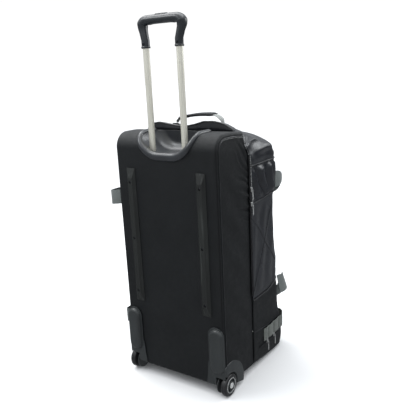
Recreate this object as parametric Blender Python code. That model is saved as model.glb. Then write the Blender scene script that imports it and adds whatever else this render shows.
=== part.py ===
"""Large wheeled soft-sided travel bag, built as an assembly of separate parts.

Frame of the bag: X to its right as it is seen from behind, Y from the back panel to the front, Z up,
metres. The bag's own frame has x = 0 on its middle plane, y = 0 on the back panel's outer face and
z = 0 on the floor. One empty carries that frame and moves it so that the whole object's box is
centred on the world origin.
"""

import math

import bmesh
import bpy
from mathutils import Matrix, Vector

# ---- driving dimensions (metres) ----
BODY_SHIFT = Vector((0.0126, -0.2111, 0.0))  # bag frame to world: centres the object's box
HALF_WIDTH = 0.1765  # outer face of the side gussets
BODY_TOP = 0.778  # top panel over the back part
TOP_EDGE_R = 0.045  # rounding between the back and the top
WALL = 0.004  # fabric with its foam and stiffener
GAP = 0.0003  # between pieces that touch
SEAM_Y = 0.176  # main zipper on the sides
RIDGE_Y = 0.145  # main zipper across the top
RIM_Z = 0.2450  # where the bucket ends and the lid begins: level, so that the lid swings clear
SEAM_GAP = 0.0005  # each side of the main zipper
FLOOR_LINE = ((0.0, 0.0345), (0.07, 0.0300), (0.176, 0.0215), (0.27, 0.0100), (0.33, 0.0048))
LID_WALL = 0.003
CORNER_R = 0.048  # vertical rounding of the front corners

TUBE_X = 0.0574
TUBE_Y = 0.0285
TUBE_RX = 0.0097
TUBE_RY = 0.0080
TUBE_WALL = 0.0012
TUBE_LOW = 0.620
GRIP_LOW = 1.010
GRIP_SOCKET = 0.024
SLEEVE_LOW = 0.300
SLEEVE_TOP = 0.7125
GRIP_TOP_MID = 1.0835
GRIP_Y = 0.0325  # the cross bar sits a little forward of the tubes
GRIP_SCREW_Y = 0.0186

CUP_X = 0.004  # the recess sits a little to the right
CUP_HALF = 0.0940
CUP_BOTTOM = 0.7180
CUP_CORNER_R = 0.072
CUP_DEPTH = 0.103
CUP_WALL = 0.0025

AXLE_Y = 0.0247
WHEEL_R = 0.0345
WHEEL_IN = 0.1645
WHEEL_OUT = 0.1830
WELL_R = 0.0425
WELL_SHELL_R = 0.0390
WELL_IN = 0.1497

RAIL_X = 0.1235
RAIL_LOW = 0.255
RAIL_TOP = 0.676
RAIL_BASE = 0.032
RAIL_CREST = 0.015
RAIL_H = 0.0085
RAIL_WEDGE = 0.030
SCREW_LEVELS = (0.291, 0.462, 0.634)
SCREW_SINK = 0.0020  # the screws sit below the rail's crest, which the bag rests on

WEB_WIDTH = 0.044
WEB_T = 0.002
STRAP_UPPER_Z = 0.583
STRAP_LOWER_Z = 0.190
BAND_Z = 0.0975
HAUL_Y = 0.192
HAUL_HALF_WIDTH = 0.0125
HAUL_FOOT_HALF = 0.0060  # the webbing is folded narrow where it is sewn down
HINGE = Vector((-0.1795, SEAM_Y, 0.5))
PULL_DROP = 0.0018  # a zipper pull's pivot below its slider's middle
SIDES = ((1, "right"), (-1, "left"))

# Outer shape of the front part: height, front face, half width.
LID_STATIONS = (
    (0.300, 0.371, 0.1785),
    (0.345, 0.369, 0.1790),
    (0.430, 0.361, 0.1790),
    (0.500, 0.353, 0.1790),
    (0.550, 0.360, 0.1790),
    (0.600, 0.371, 0.1790),
    (0.640, 0.372, 0.1790),
    (0.675, 0.369, 0.1785),
    (0.700, 0.360, 0.1785),
    (0.720, 0.325, 0.1780),
    (0.740, 0.283, 0.1755),
    (0.760, 0.238, 0.1700),
    (0.775, 0.203, 0.1620),
    (0.787, 0.178, 0.1480),
    (0.795, 0.164, 0.1260),
)
BUCKET_STATIONS = (
    (0.008, 0.400, 0.1750),
    (0.022, 0.4095, 0.1765),
    (0.045, 0.411, 0.1775),
    (0.075, 0.408, 0.1780),
    (0.120, 0.399, 0.1780),
    (0.165, 0.386, 0.1780),
    (0.205, 0.377, 0.1780),
)
RIM_FRONT = 0.372
LID_HALF_AT_RIM = 0.1785
BUCKET_HALF_AT_RIM = 0.1780

# ---- colours: base colour, roughness, metallic ----
FINISHES = {
    "back_fabric": ((0.018, 0.020, 0.026), 0.80, 0.0),
    "shell_fabric": ((0.020, 0.022, 0.028), 0.50, 0.0),
    "webbing": ((0.200, 0.205, 0.190), 0.80, 0.0),
    "moulding": ((0.045, 0.048, 0.050), 0.50, 0.0),
    "rail_plastic": ((0.060, 0.066, 0.062), 0.45, 0.0),
    "rim_plastic": ((0.100, 0.105, 0.115), 0.25, 0.0),
    "grip_plastic": ((0.020, 0.021, 0.024), 0.30, 0.0),
    "tube_metal": ((0.720, 0.700, 0.640), 0.28, 1.0),
    "steel": ((0.550, 0.550, 0.560), 0.35, 1.0),
    "tyre": ((0.020, 0.020, 0.022), 0.55, 0.0),
    "board": ((0.080, 0.080, 0.085), 0.60, 0.0),
    "zipper": ((0.015, 0.015, 0.018), 0.60, 0.0),
}


# ---- scene and object helpers ----
def clear_scene():
    for old in list(bpy.data.objects):
        bpy.data.objects.remove(old, do_unlink=True)


def material(name):
    found = bpy.data.materials.get(name)
    if found:
        return found
    colour, roughness, metallic = FINISHES[name]
    made = bpy.data.materials.new(name)
    made.use_nodes = True
    shader = made.node_tree.nodes["Principled BSDF"]
    shader.inputs["Base Color"].default_value = (*colour, 1.0)
    shader.inputs["Roughness"].default_value = roughness
    shader.inputs["Metallic"].default_value = metallic
    return made


def empty(name, at, parent=None):
    """An empty at a point given in the bag's frame."""
    made = bpy.data.objects.new(name, None)
    bpy.context.collection.objects.link(made)
    made["at"] = tuple(at)
    if parent is None:
        made.location = at
    else:
        made.parent = parent
        made.location = Vector(at) - Vector(parent["at"])
    return made


def add(name, mesh_bm, finish, parent, smooth_deg=None):
    """Turns a bmesh in the bag's frame into an object under its body's empty."""
    bmesh.ops.recalc_face_normals(mesh_bm, faces=mesh_bm.faces)
    mesh = bpy.data.meshes.new(name)
    mesh_bm.to_mesh(mesh)
    mesh_bm.free()
    mesh.transform(Matrix.Translation(-Vector(parent["at"])))
    made = bpy.data.objects.new(name, mesh)
    bpy.context.collection.objects.link(made)
    made.parent = parent
    if finish:
        mesh.materials.append(material(finish))
    if smooth_deg:
        mesh.shade_smooth()
        mesh.set_sharp_from_angle(angle=math.radians(smooth_deg))
    return made


def cutter(name, mesh_bm, parent):
    made = add(name, mesh_bm, None, parent)
    made.hide_render = True
    made.display_type = "WIRE"
    return made


def boolean(obj, other, operation):
    step = obj.modifiers.new(operation.title(), "BOOLEAN")
    step.operation = operation
    step.object = other
    step.solver = "EXACT"


# ---- mesh helpers, all in the bag's frame ----
def arc(centre, radius, start_deg, end_deg, steps):
    """Points on an arc in a plane, both ends included."""
    points = []
    for i in range(steps + 1):
        turn = math.radians(start_deg + (end_deg - start_deg) * i / steps)
        points.append((centre[0] + radius * math.cos(turn), centre[1] + radius * math.sin(turn)))
    return points


def skin(rings, closed=False):
    """A closed body through rings of equal length: capped at its ends, or joined into a loop."""
    bm = bmesh.new()
    rows = [[bm.verts.new(p) for p in ring] for ring in rings]
    count = len(rows[0])
    last = len(rows) if closed else len(rows) - 1
    for i in range(last):
        here = rows[i]
        there = rows[(i + 1) % len(rows)]
        for j in range(count):
            k = (j + 1) % count
            bm.faces.new((here[j], here[k], there[k], there[j]))
    if not closed:
        bm.faces.new(list(reversed(rows[0])))
        bm.faces.new(rows[-1])
    return bm


def prism(outline, axis, low, high):
    """An outline in the plane across an axis, extruded along it. Plane order is X, Y, Z order."""
    def lift(point, depth):
        values = list(point)
        values.insert("xyz".index(axis), depth)
        return Vector(values)

    return skin([[lift(p, low) for p in outline], [lift(p, high) for p in outline]])


def block(low, high):
    outline = ((low[0], low[1]), (high[0], low[1]), (high[0], high[1]), (low[0], high[1]))
    return prism(outline, "z", low[2], high[2])


def rounded_rect(centre, half, radius, steps=3):
    """Corner-rounded rectangle outline in a plane."""
    points = []
    corners = ((1, 1, 0), (-1, 1, 90), (-1, -1, 180), (1, -1, 270))
    for sx, sy, turn in corners:
        middle = (centre[0] + sx * (half[0] - radius), centre[1] + sy * (half[1] - radius))
        points += arc(middle, radius, turn, turn + 90, steps)
    return points


def ellipse(centre, rx, ry, sides):
    turns = [2 * math.pi * i / sides for i in range(sides)]
    return [(centre[0] + rx * math.cos(t), centre[1] + ry * math.sin(t)) for t in turns]


def tube(centre, rx, ry, wall, low, high, sides=20):
    """An open upright tube with an elliptical section."""
    bm = bmesh.new()
    loops = []
    for shrink, z in ((0, low), (0, high), (wall, high), (wall, low)):
        outline = ellipse(centre, rx - shrink, ry - shrink, sides)
        loops.append([bm.verts.new((x, y, z)) for x, y in outline])
    for i in range(4):
        here = loops[i]
        there = loops[(i + 1) % 4]
        for j in range(sides):
            k = (j + 1) % sides
            bm.faces.new((here[j], here[k], there[k], there[j]))
    return bm


def turned(profile, centre, sides, mirror=1):
    """A body turned about an axis along X through (y, z) = centre, from (x, radius) points."""
    rings = []
    for x, radius in profile:
        outline = ellipse(centre, radius, radius, sides)
        rings.append([(mirror * x, y, z) for y, z in outline])
    return skin(rings)


def ribbon(path, thickness, low, high):
    """An upright band of webbing that follows a path in plan, thickened to its left side."""
    inner = [Vector(p) for p in path]
    outer = []
    for i, point in enumerate(inner):
        before = inner[max(i - 1, 0)]
        after = inner[min(i + 1, len(inner) - 1)]
        run = (after - before).normalized()
        outer.append(point + Vector((run.y, -run.x)) * thickness)
    return prism([tuple(p) for p in inner] + [tuple(p) for p in reversed(outer)], "z", low, high)


def smooth_path(points, steps=4):
    """Catmull-Rom points through a few guide points."""
    guide = [Vector(p) for p in points]
    guide = [2 * guide[0] - guide[1]] + guide + [2 * guide[-1] - guide[-2]]
    path = []
    for i in range(1, len(guide) - 2):
        a, b, c, d = guide[i - 1 : i + 3]
        for k in range(steps):
            t = k / steps
            path.append(
                0.5 * (2 * b + (c - a) * t + (2 * a - 5 * b + 4 * c - d) * t * t
                       + (3 * b - a - 3 * c + d) * t * t * t)
            )
    path.append(guide[-2])
    return path


def ease(value):
    value = min(max(value, 0.0), 1.0)
    return value * value * (3 - 2 * value)


# ---- shape of the body ----
def seam_y(z):
    """The main zipper's place on the sides: upright, leaning back near the top."""
    return SEAM_Y - (SEAM_Y - RIDGE_Y) * ease((z - 0.68) / 0.10)


def floor_z(y):
    """The underside of the bottom slopes down to the front feet."""
    for (y0, z0), (y1, z1) in zip(FLOOR_LINE, FLOOR_LINE[1:]):
        if y <= y1:
            return z0 + (z1 - z0) * (y - y0) / (y1 - y0)
    return FLOOR_LINE[-1][1]


def roof_z(y):
    """The lid's outer face on its sloping top."""
    for (z0, y0, _), (z1, y1, _) in zip(LID_STATIONS, LID_STATIONS[1:]):
        if z0 >= 0.70 and y1 <= y <= y0:
            return z0 + (z1 - z0) * (y0 - y) / (y0 - y1)
    return LID_STATIONS[-1][0]


def haul_foot_z():
    """Where the carrying handle's webbing ends, clear of its anchors on the slope."""
    return roof_z(HAUL_Y - HAUL_HALF_WIDTH) + 0.0035


def top_z(y):
    """The top panel falls a little towards the ridge."""
    return BODY_TOP - 0.006 * ease((y - 0.08) / 0.07)


def back_outline(inset, front_inset=0.0):
    """Side view of the back part's top corner, from the ridge back and down the back face."""
    points = [(y, top_z(y) - inset) for y in (RIDGE_Y - front_inset, 0.12, 0.08)]
    centre = (TOP_EDGE_R, BODY_TOP - TOP_EDGE_R)
    points += arc(centre, TOP_EDGE_R - inset, 90, 180, 8)
    return points


def cup_outline(inset, top):
    """U-shaped outline of the handle recess, seen from behind."""
    half = CUP_HALF - inset
    radius = CUP_CORNER_R - inset
    level = CUP_BOTTOM + CUP_CORNER_R
    right = arc((CUP_X + half - radius, level), radius, 0, -90, 8)
    left = arc((CUP_X - half + radius, level), radius, 270, 180, 8)
    return [(CUP_X + half, top)] + right + left + [(CUP_X - half, top)]


def well_cutter(side, parent):
    name = "well_cutter_" + ("right" if side > 0 else "left")
    profile = ((0.1450, 0.0090), (WELL_IN, 0.0090), (WELL_IN, WELL_R), (0.230, WELL_R))
    return cutter(name, turned(profile, (AXLE_Y, WHEEL_R), 40, side), parent)


def body_panels(root, wells, cup_space):
    """Back, top, side gussets, bottom and the stiffening sheet behind the tubes."""
    back = add(
        "back_panel",
        block((-HALF_WIDTH, 0.0, 0.040), (HALF_WIDTH, WALL, BODY_TOP - TOP_EDGE_R - GAP)),
        "back_fabric",
        root,
    )
    boolean(back, cup_space, "DIFFERENCE")
    for well in wells:
        boolean(back, well, "DIFFERENCE")
    outline = back_outline(0.0, SEAM_GAP) + list(reversed(back_outline(WALL, SEAM_GAP)))
    top = add("top_panel", prism(outline, "x", -HALF_WIDTH, HALF_WIDTH), "back_fabric", root, 40)
    boolean(top, cup_space, "DIFFERENCE")

    inner = WALL + GAP
    side_edge = [(seam_y(z) - SEAM_GAP, z) for z in (0.0385, 0.30, 0.68, 0.70, 0.72, 0.74, 0.76)]
    outline = side_edge + back_outline(inner, SEAM_GAP) + [(inner, 0.0385)]
    for side, word in SIDES:
        low, high = sorted((side * (HALF_WIDTH - WALL), side * HALF_WIDTH))
        gusset = add("gusset_" + word, prism(outline, "x", low, high), "back_fabric", root)
        for well in wells:
            boolean(gusset, well, "DIFFERENCE")

    levels = (inner, 0.07, 0.12, 0.176, 0.22, 0.27, 0.33, 0.393)
    under = [(y, floor_z(y)) for y in levels]
    over = [(y, z + 0.0032) for y, z in reversed(under)]
    floor = add("floor_panel", prism(under + over, "x", -0.1720, 0.1720), "moulding", root)
    front = arc((0.1250, 0.346), 0.0460, 0, 90, 6)
    plan = [(-0.1715, 0.0), (0.1715, 0.0)] + front + [(-x, y) for x, y in reversed(front)]
    trim = cutter("floor_plan", prism(plan, "z", -0.02, 0.06), root)
    boolean(floor, trim, "INTERSECT")
    for well in wells:
        boolean(floor, well, "DIFFERENCE")
    sheet = block((-0.166, 0.0392, 0.095), (0.166, 0.0412, 0.700))
    add("frame_sheet", sheet, "board", root)


def shell_rows(stations, last_edge=None, columns_front=10):
    """Outer surface of the front part as rows of points, from the right seam to the left seam.

    The last row can follow an edge whose height depends on y.
    """
    rows = []
    for number, (z, front, half) in enumerate(stations, 1):
        edge = last_edge if number == len(stations) else None
        start = seam_y(z) + SEAM_GAP
        radius = min(CORNER_R, 0.62 * (front - start), 0.45 * half)
        flat = front - radius
        side = [(half, start + (flat - start) * k / 3) for k in range(3)]
        corner = arc((half - radius, flat), radius, 0, 90, 6)
        inner_half = half - radius
        middle = [
            (inner_half - 2 * inner_half * k / columns_front, front)
            for k in range(1, columns_front)
        ]
        half_row = side + corner
        mirrored = [(-x, y) for x, y in reversed(half_row)]
        rows.append([(x, y, edge(y) if edge else z) for x, y in half_row + middle + mirrored])
    return rows


def sheet_from_rows(rows, roofed=False):
    bm = bmesh.new()
    grid = [[bm.verts.new(p) for p in row] for row in rows]
    for a, b in zip(grid, grid[1:]):
        for i in range(len(a) - 1):
            bm.faces.new((a[i], a[i + 1], b[i + 1], b[i]))
    if roofed:
        bm.faces.new(grid[-1])
    return bm


def thicken(obj, thickness):
    step = obj.modifiers.new("Wall", "SOLIDIFY")
    step.thickness = thickness
    step.offset = -1.0
    step.use_even_offset = True


def lid_and_bucket(root, lid):
    """The zipped front: a lid that opens, over a fixed bucket that the bag stands on."""
    def bucket_edge(y):
        return floor_z(y) + 0.0036

    stations = ((RIM_Z + 0.0008, RIM_FRONT, LID_HALF_AT_RIM),) + LID_STATIONS
    rows = shell_rows(stations)
    lid_shell = add("lid_shell", sheet_from_rows(rows, roofed=True), "shell_fabric", lid, 50)
    thicken(lid_shell, LID_WALL)

    stations = ((RIM_Z, RIM_FRONT, BUCKET_HALF_AT_RIM),) + tuple(reversed(BUCKET_STATIONS))
    rows = shell_rows(stations, bucket_edge)
    bucket = add("front_bucket", sheet_from_rows(rows), "shell_fabric", root, 50)
    thicken(bucket, WALL)


def handle_recess(root, cup_space):
    """The moulded recess that the pull handle sinks into, with its raised rim."""
    outer = prism(cup_outline(GAP, BODY_TOP + 0.02), "y", 0.0, CUP_DEPTH)
    cup = add("handle_cup", outer, "moulding", root, 30)
    envelope = [(0.0, 0.60)] + list(reversed(back_outline(0.0))) + [(RIDGE_Y, 0.60)]
    boolean(cup, cutter("cup_envelope", prism(envelope, "x", -0.15, 0.15), root), "INTERSECT")
    hollow = prism(cup_outline(GAP + CUP_WALL, BODY_TOP + 0.03), "y", -0.02, CUP_DEPTH - CUP_WALL)
    boolean(cup, cutter("cup_hollow", hollow, root), "DIFFERENCE")
    for side, word in SIDES:
        hole = prism(
            ellipse((side * TUBE_X, TUBE_Y), TUBE_RX + 0.0008, TUBE_RY + 0.0008, 24),
            "z", CUP_BOTTOM - 0.02, CUP_BOTTOM + 0.05,
        )
        boolean(cup, cutter("cup_hole_" + word, hole, root), "DIFFERENCE")

    def on_surface(x, run):
        """A point of the back part's skin and its outward normal; run is measured upwards."""
        bend = BODY_TOP - TOP_EDGE_R
        if run <= bend:
            return Vector((x, 0.0, run)), Vector((0, -1, 0))
        turn = (run - bend) / TOP_EDGE_R
        if turn <= math.pi / 2:
            normal = Vector((0, -math.cos(turn), math.sin(turn)))
            return Vector((x, TOP_EDGE_R, bend)) + TOP_EDGE_R * normal, normal
        y = TOP_EDGE_R + run - bend - TOP_EDGE_R * math.pi / 2
        return Vector((x, y, top_z(y))), Vector((0, 0, 1))

    half = CUP_HALF + 0.0035
    level = CUP_BOTTOM + CUP_CORNER_R
    radius = CUP_CORNER_R + 0.0035
    reach = BODY_TOP - TOP_EDGE_R + TOP_EDGE_R * math.pi / 2 + 0.050
    flat = [(half, reach + (level - reach) * k / 10) for k in range(10)]
    flat += arc((half - radius, level), radius, 0, -90, 8)
    path = [(CUP_X + x, run) for x, run in flat] + [(CUP_X - x, run) for x, run in reversed(flat)]
    rings = []
    for i, (x, run) in enumerate(path):
        point, normal = on_surface(x, run)
        before = on_surface(*path[max(i - 1, 0)])[0]
        after = on_surface(*path[min(i + 1, len(path) - 1)])[0]
        along = (after - before).normalized()
        across = normal.cross(along).normalized()
        half_width = 0.0068 + 0.0047 * abs(along.x) ** 2  # wider where it runs across the foot
        ring = [point + across * (half_width * math.cos(t)) + normal * (0.0013 + 0.006 * math.sin(t))
                for t in (math.pi * k / 6 for k in range(7))]
        rings.append(ring)
    add("handle_cup_rim", skin(rings), "rim_plastic", root, 60)


def tubes_and_grip(root, trolley, release):
    """Fixed outer tubes, sliding inner tubes, the hand grip and its release button."""
    for side, word in SIDES:
        centre = (side * TUBE_X, TUBE_Y)
        slack = TUBE_WALL + 0.0005
        sleeve = tube(centre, TUBE_RX + slack, TUBE_RY + slack, TUBE_WALL, SLEEVE_LOW, SLEEVE_TOP)
        add("tube_sleeve_" + word, sleeve, "tube_metal", root, 40)
        inner = tube(centre, TUBE_RX, TUBE_RY, TUBE_WALL, TUBE_LOW, GRIP_LOW + GRIP_SOCKET - 0.001)
        add("trolley_tube_" + word, inner, "tube_metal", trolley, 40)
        rod = prism(ellipse(centre, 0.0025, 0.0025, 8), "z", TUBE_LOW + 0.006, GRIP_LOW - 0.01)
        add("release_rod_" + word, rod, "steel", release, 40)
        plug = turned(((0.0, 0.0042), (0.0016, 0.0042), (0.0026, 0.0026)), (0, 0), 12)
        plug.transform(Matrix.Translation((centre[0], GRIP_SCREW_Y, GRIP_LOW + 0.012))
                       @ Matrix.Rotation(math.radians(-90), 4, "Z"))
        add("grip_screw_" + word, plug, "steel", trolley, 30)
    bracket = block((-0.080, 0.0185, SLEEVE_LOW - 0.018), (0.080, 0.0385, SLEEVE_LOW - GAP))
    add("sleeve_bracket", bracket, "moulding", root)

    half_path = [
        (TUBE_X, TUBE_Y, GRIP_LOW, 0.0116, 0.0112),
        (TUBE_X, TUBE_Y, GRIP_LOW + 0.018, 0.0116, 0.0110),
        (TUBE_X + 0.0006, TUBE_Y + 0.0003, GRIP_LOW + 0.027, 0.0116, 0.0110),
        (TUBE_X + 0.0040, TUBE_Y + 0.0014, GRIP_LOW + 0.037, 0.0116, 0.0114),
        (TUBE_X + 0.0078, TUBE_Y + 0.0030, GRIP_LOW + 0.047, 0.0124, 0.0126),
        (TUBE_X + 0.0090, GRIP_Y, GRIP_LOW + 0.056, 0.0134, 0.0142),
    ]
    rings = []
    for x, y, z, width, depth in half_path:
        rings.append((Vector((x, y, z)), Vector((1, 0, 0)), width, depth))
    corner = Vector((0.0485, GRIP_Y, 1.0705))
    for turn in (15, 30, 45, 60, 75, 90):
        t = math.radians(turn)
        out = Vector((math.cos(t), 0, math.sin(t)))
        reach = Vector((math.cos(t) * 0.0190, 0, math.sin(t) * 0.0130))
        size = 0.0138 - 0.0010 * turn / 90
        rings.append((corner + reach, out, size, 0.0155))
    for x in (0.034, 0.018):
        rings.append((Vector((x, GRIP_Y, GRIP_TOP_MID + 0.0002)), Vector((0, 0, 1)), 0.0128, 0.0160))
    for centre, out, width, depth in reversed(rings[:]):
        mirrored = Vector((-centre.x, centre.y, centre.z))
        rings.append((mirrored, Vector((-out.x, 0, out.z)), width, depth))
    loops = []
    for centre, out, width, depth in rings:
        section = ellipse((0, 0), width, depth, 16)
        loops.append([centre + out * u + Vector((0, v, 0)) for u, v in section])
    grip = add("trolley_grip", skin(loops), "grip_plastic", trolley, 50)
    for side, word in SIDES:
        socket = prism(
            ellipse((side * TUBE_X, TUBE_Y), TUBE_RX + GAP, TUBE_RY + GAP, 20),
            "z", GRIP_LOW - 0.01, GRIP_LOW + GRIP_SOCKET,
        )
        boolean(grip, cutter("grip_socket_" + word, socket, trolley), "DIFFERENCE")
        sunk = turned(((0.0, 0.0046), (0.0100, 0.0046)), (0, 0), 16)
        sunk.transform(Matrix.Translation((side * TUBE_X, GRIP_SCREW_Y + 0.0002, GRIP_LOW + 0.012))
                       @ Matrix.Rotation(math.radians(-90), 4, "Z"))
        boolean(grip, cutter("grip_screw_pocket_" + word, sunk, trolley), "DIFFERENCE")
    pocket = prism(rounded_rect((0.0, GRIP_Y), (0.0205, 0.0085), 0.006), "z",
                   GRIP_TOP_MID + 0.004, GRIP_TOP_MID + 0.05)
    boolean(grip, cutter("button_pocket", pocket, trolley), "DIFFERENCE")
    rings = []
    for z, shrink in ((GRIP_TOP_MID + 0.0080, 0.0), (GRIP_TOP_MID + 0.0132, 0.0),
                      (GRIP_TOP_MID + 0.0148, 0.0018)):
        outline = rounded_rect((0.0, GRIP_Y), (0.0200 - shrink, 0.0080 - shrink), 0.0055)
        rings.append([(x, y, z) for x, y in outline])
    add("release_button", skin(rings), "grip_plastic", release, 40)


def rails(root):
    """Skid rails on the back panel, held by screws sunk into their crests."""
    outwards = Matrix.Rotation(math.radians(-90), 4, "Z")
    for side, word in SIDES:
        middle = side * RAIL_X
        rings = []
        for z, height, crest in (
            (RAIL_LOW, 0.0012, RAIL_BASE * 0.92),
            (RAIL_LOW + RAIL_WEDGE, RAIL_H, RAIL_CREST),
            (RAIL_TOP - RAIL_WEDGE, RAIL_H, RAIL_CREST),
            (RAIL_TOP, 0.0012, RAIL_BASE * 0.92),
        ):
            rings.append([
                (middle - RAIL_BASE / 2, -GAP, z),
                (middle - crest / 2, -height, z),
                (middle + crest / 2, -height, z),
                (middle + RAIL_BASE / 2, -GAP, z),
            ])
        rail = add("skid_rail_" + word, skin(rings), "rail_plastic", root)
        for number, level in enumerate(SCREW_LEVELS, 1):
            face = Matrix.Translation((middle, SCREW_SINK - RAIL_H, level)) @ outwards
            pocket = turned(((-GAP, 0.0043), (0.0100, 0.0043)), (0, 0), 16)
            pocket.transform(face)
            boolean(rail, cutter(f"screw_pocket_{word}_{number}", pocket, root), "DIFFERENCE")
            head = turned(((0.0, 0.0038), (0.0008, 0.0038), (0.0016, 0.0024)), (0, 0), 12)
            head.transform(face)
            add(f"rail_screw_{word}_{number}", head, "steel", root, 30)


def corner_mouldings(root, wells, wheels):
    """Kick plates, wheel housings, axles and wheels at the two lower back corners."""
    for (side, word), well, spin in zip(SIDES, wells, wheels):
        outline = [
            (0.1795, 0.060), (0.1795, 0.200),
        ] + arc((0.1525, 0.200), 0.027, 0, 180, 10) + [
            (0.1255, 0.118), (0.1215, 0.104), (0.1195, 0.075), (0.1150, 0.0415), (0.1795, 0.0415),
        ]
        outline = [(side * x, z) for x, z in outline]
        plate = add("kick_plate_" + word, prism(outline, "y", -0.0030, -GAP), "moulding", root, 30)
        rings = []
        for depth, inset in ((-0.0015, 0.0), (-0.0085, 0.0005), (-0.0110, 0.0030), (-0.0123, 0.0080)):
            half = 0.0235 - inset
            low = 0.080 + inset
            ring = arc((0.1545, 0.1980), half, 0, 180, 10)
            ring += arc((0.1545, low + half), half, 180, 360, 10)
            rings.append([(side * x, depth, z) for x, z in ring])
        capsule = cutter("capsule_" + word, skin(rings), root)
        boolean(plate, capsule, "UNION")
        boolean(plate, well, "DIFFERENCE")

        rings = []
        for k in range(21):
            degrees = 119.0 - 137.0 * k / 20
            turn = math.radians(degrees)
            cosine = math.cos(turn)
            edge = 0.083 - 0.000125 * (degrees + 11)
            if cosine < 0:
                edge = min(edge, (AXLE_Y - 0.0006) / -cosine)
            profile = (
                (0.1500, 0.020), (0.1530, 0.020), (0.1530, WELL_SHELL_R), (0.1797, WELL_SHELL_R),
                (0.1797, edge - 0.002), (0.1785, edge), (0.1768, edge), (0.1768, WELL_R - GAP),
                (0.1500, WELL_R - GAP),
            )
            rings.append([
                (side * x, AXLE_Y + r * cosine, WHEEL_R + r * math.sin(turn)) for x, r in profile
            ])
        housing = add("wheel_housing_" + word, skin(rings), "moulding", root, 40)
        disc = turned(((0.1502, 0.0300), (0.1534, 0.0300)), (AXLE_Y, WHEEL_R), 32, side)
        boolean(housing, cutter("axle_boss_" + word, disc, root), "UNION")
        hole = turned(((0.140, 0.0043), (0.200, 0.0043)), (AXLE_Y, WHEEL_R), 20, side)
        boolean(housing, cutter("axle_hole_" + word, hole, root), "DIFFERENCE")

        profile = (
            (0.1455, 0.0070), (0.1494, 0.0070), (0.1494, 0.0040), (0.1833, 0.0040),
            (0.1833, 0.0085), (0.1845, 0.0082), (0.1855, 0.0050),
        )
        add("axle_" + word, turned(profile, (AXLE_Y, WHEEL_R), 20, side), "steel", root, 40)
        hub = add(
            "wheel_hub_" + word,
            turned(((WHEEL_IN + 0.002, 0.0235), (WHEEL_OUT - 0.002, 0.0235)),
                   (AXLE_Y, WHEEL_R), 32, side),
            "moulding", spin, 40,
        )
        bore = turned(((0.15, 0.0042), (0.20, 0.0042)), (AXLE_Y, WHEEL_R), 20, side)
        boolean(hub, cutter("hub_bore_" + word, bore, spin), "DIFFERENCE")
        profile = ((WHEEL_IN, WHEEL_R - 0.004), (WHEEL_IN + 0.003, WHEEL_R - 0.001),
                   (WHEEL_IN + 0.006, WHEEL_R), (WHEEL_OUT - 0.006, WHEEL_R),
                   (WHEEL_OUT - 0.003, WHEEL_R - 0.001), (WHEEL_OUT, WHEEL_R - 0.004))
        tyre_bm = turned(profile, (AXLE_Y, WHEEL_R), 40, side)
        tyre = add("wheel_tyre_" + word, tyre_bm, "tyre", spin, 40)
        seat = turned(((0.15, 0.0238), (0.20, 0.0238)), (AXLE_Y, WHEEL_R), 32, side)
        boolean(tyre, cutter("tyre_bore_" + word, seat, spin), "DIFFERENCE")


def feet(root):
    for side, word in SIDES:
        rings = []
        for z, shrink in ((0.0, 0.0015), (0.0015, 0.0), (FLOOR_LINE[-1][1] - GAP, 0.0)):
            outline = rounded_rect((side * 0.110, 0.352), (0.026 - shrink, 0.016 - shrink), 0.008)
            rings.append([(x, y, z) for x, y in outline])
        add("front_foot_" + word, skin(rings), "moulding", root, 40)


def front_path(front, lift, corner_start):
    """Plan path on the outside of the front part, from the left side round to the front."""
    radius = CORNER_R + lift
    centre = (-0.179 + CORNER_R, front - CORNER_R)
    path = [(-0.179 - lift, corner_start)]
    path += arc(centre, radius, 180, 90, 6)
    return path


def straps(root, lid):
    """Webbing: two straps round the left side and the front, and the band at the front's foot."""
    half = WEB_WIDTH / 2
    bow_back = [(-0.1772, 0.0060), (-0.1930, 0.0030), (-0.2085, 0.0065), (-0.2140, 0.0230),
                (-0.2090, 0.0500), (-0.1940, 0.0850), (-0.1830, 0.1150), (-0.1810, 0.1400)]
    side = smooth_path(bow_back)
    side_upper = [tuple(p) for p in side] + [(-0.1808, 0.1640)]
    low = STRAP_UPPER_Z - half
    high = STRAP_UPPER_Z + half
    add("strap_upper_side", ribbon(list(reversed(side_upper)), WEB_T, low, high), "webbing", root, 50)

    def front_run(front, reach):
        bow = [(0.045, front + 0.0012), (0.080, front + 0.010), (0.115, front + reach * 0.75),
               (0.142, front + reach), (0.160, front + reach * 0.70), (0.1700, front - 0.012),
               (0.1755, front - 0.030)]
        return [tuple(p) for p in smooth_path(bow)]

    upper = front_path(0.3715, 0.0012, 0.190) + front_run(0.3715, 0.046)
    add("strap_upper_front", ribbon(list(reversed(upper)), WEB_T, low, high), "webbing", lid, 50)

    low = STRAP_LOWER_Z - half
    high = STRAP_LOWER_Z + half
    lower = [tuple(p) for p in side] + front_path(0.3885, 0.0012, 0.190) + front_run(0.3885, 0.044)
    add("strap_lower", ribbon(list(reversed(lower)), WEB_T, low, high), "webbing", root, 50)

    lift = 0.0006
    left = front_path(0.4085, lift, 0.240)
    right = [(-x, y) for x, y in reversed(left)]
    low = BAND_Z - half
    high = BAND_Z + half
    add("webbing_band", ribbon(list(reversed(left + right)), WEB_T, low, high), "webbing", root, 50)


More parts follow.
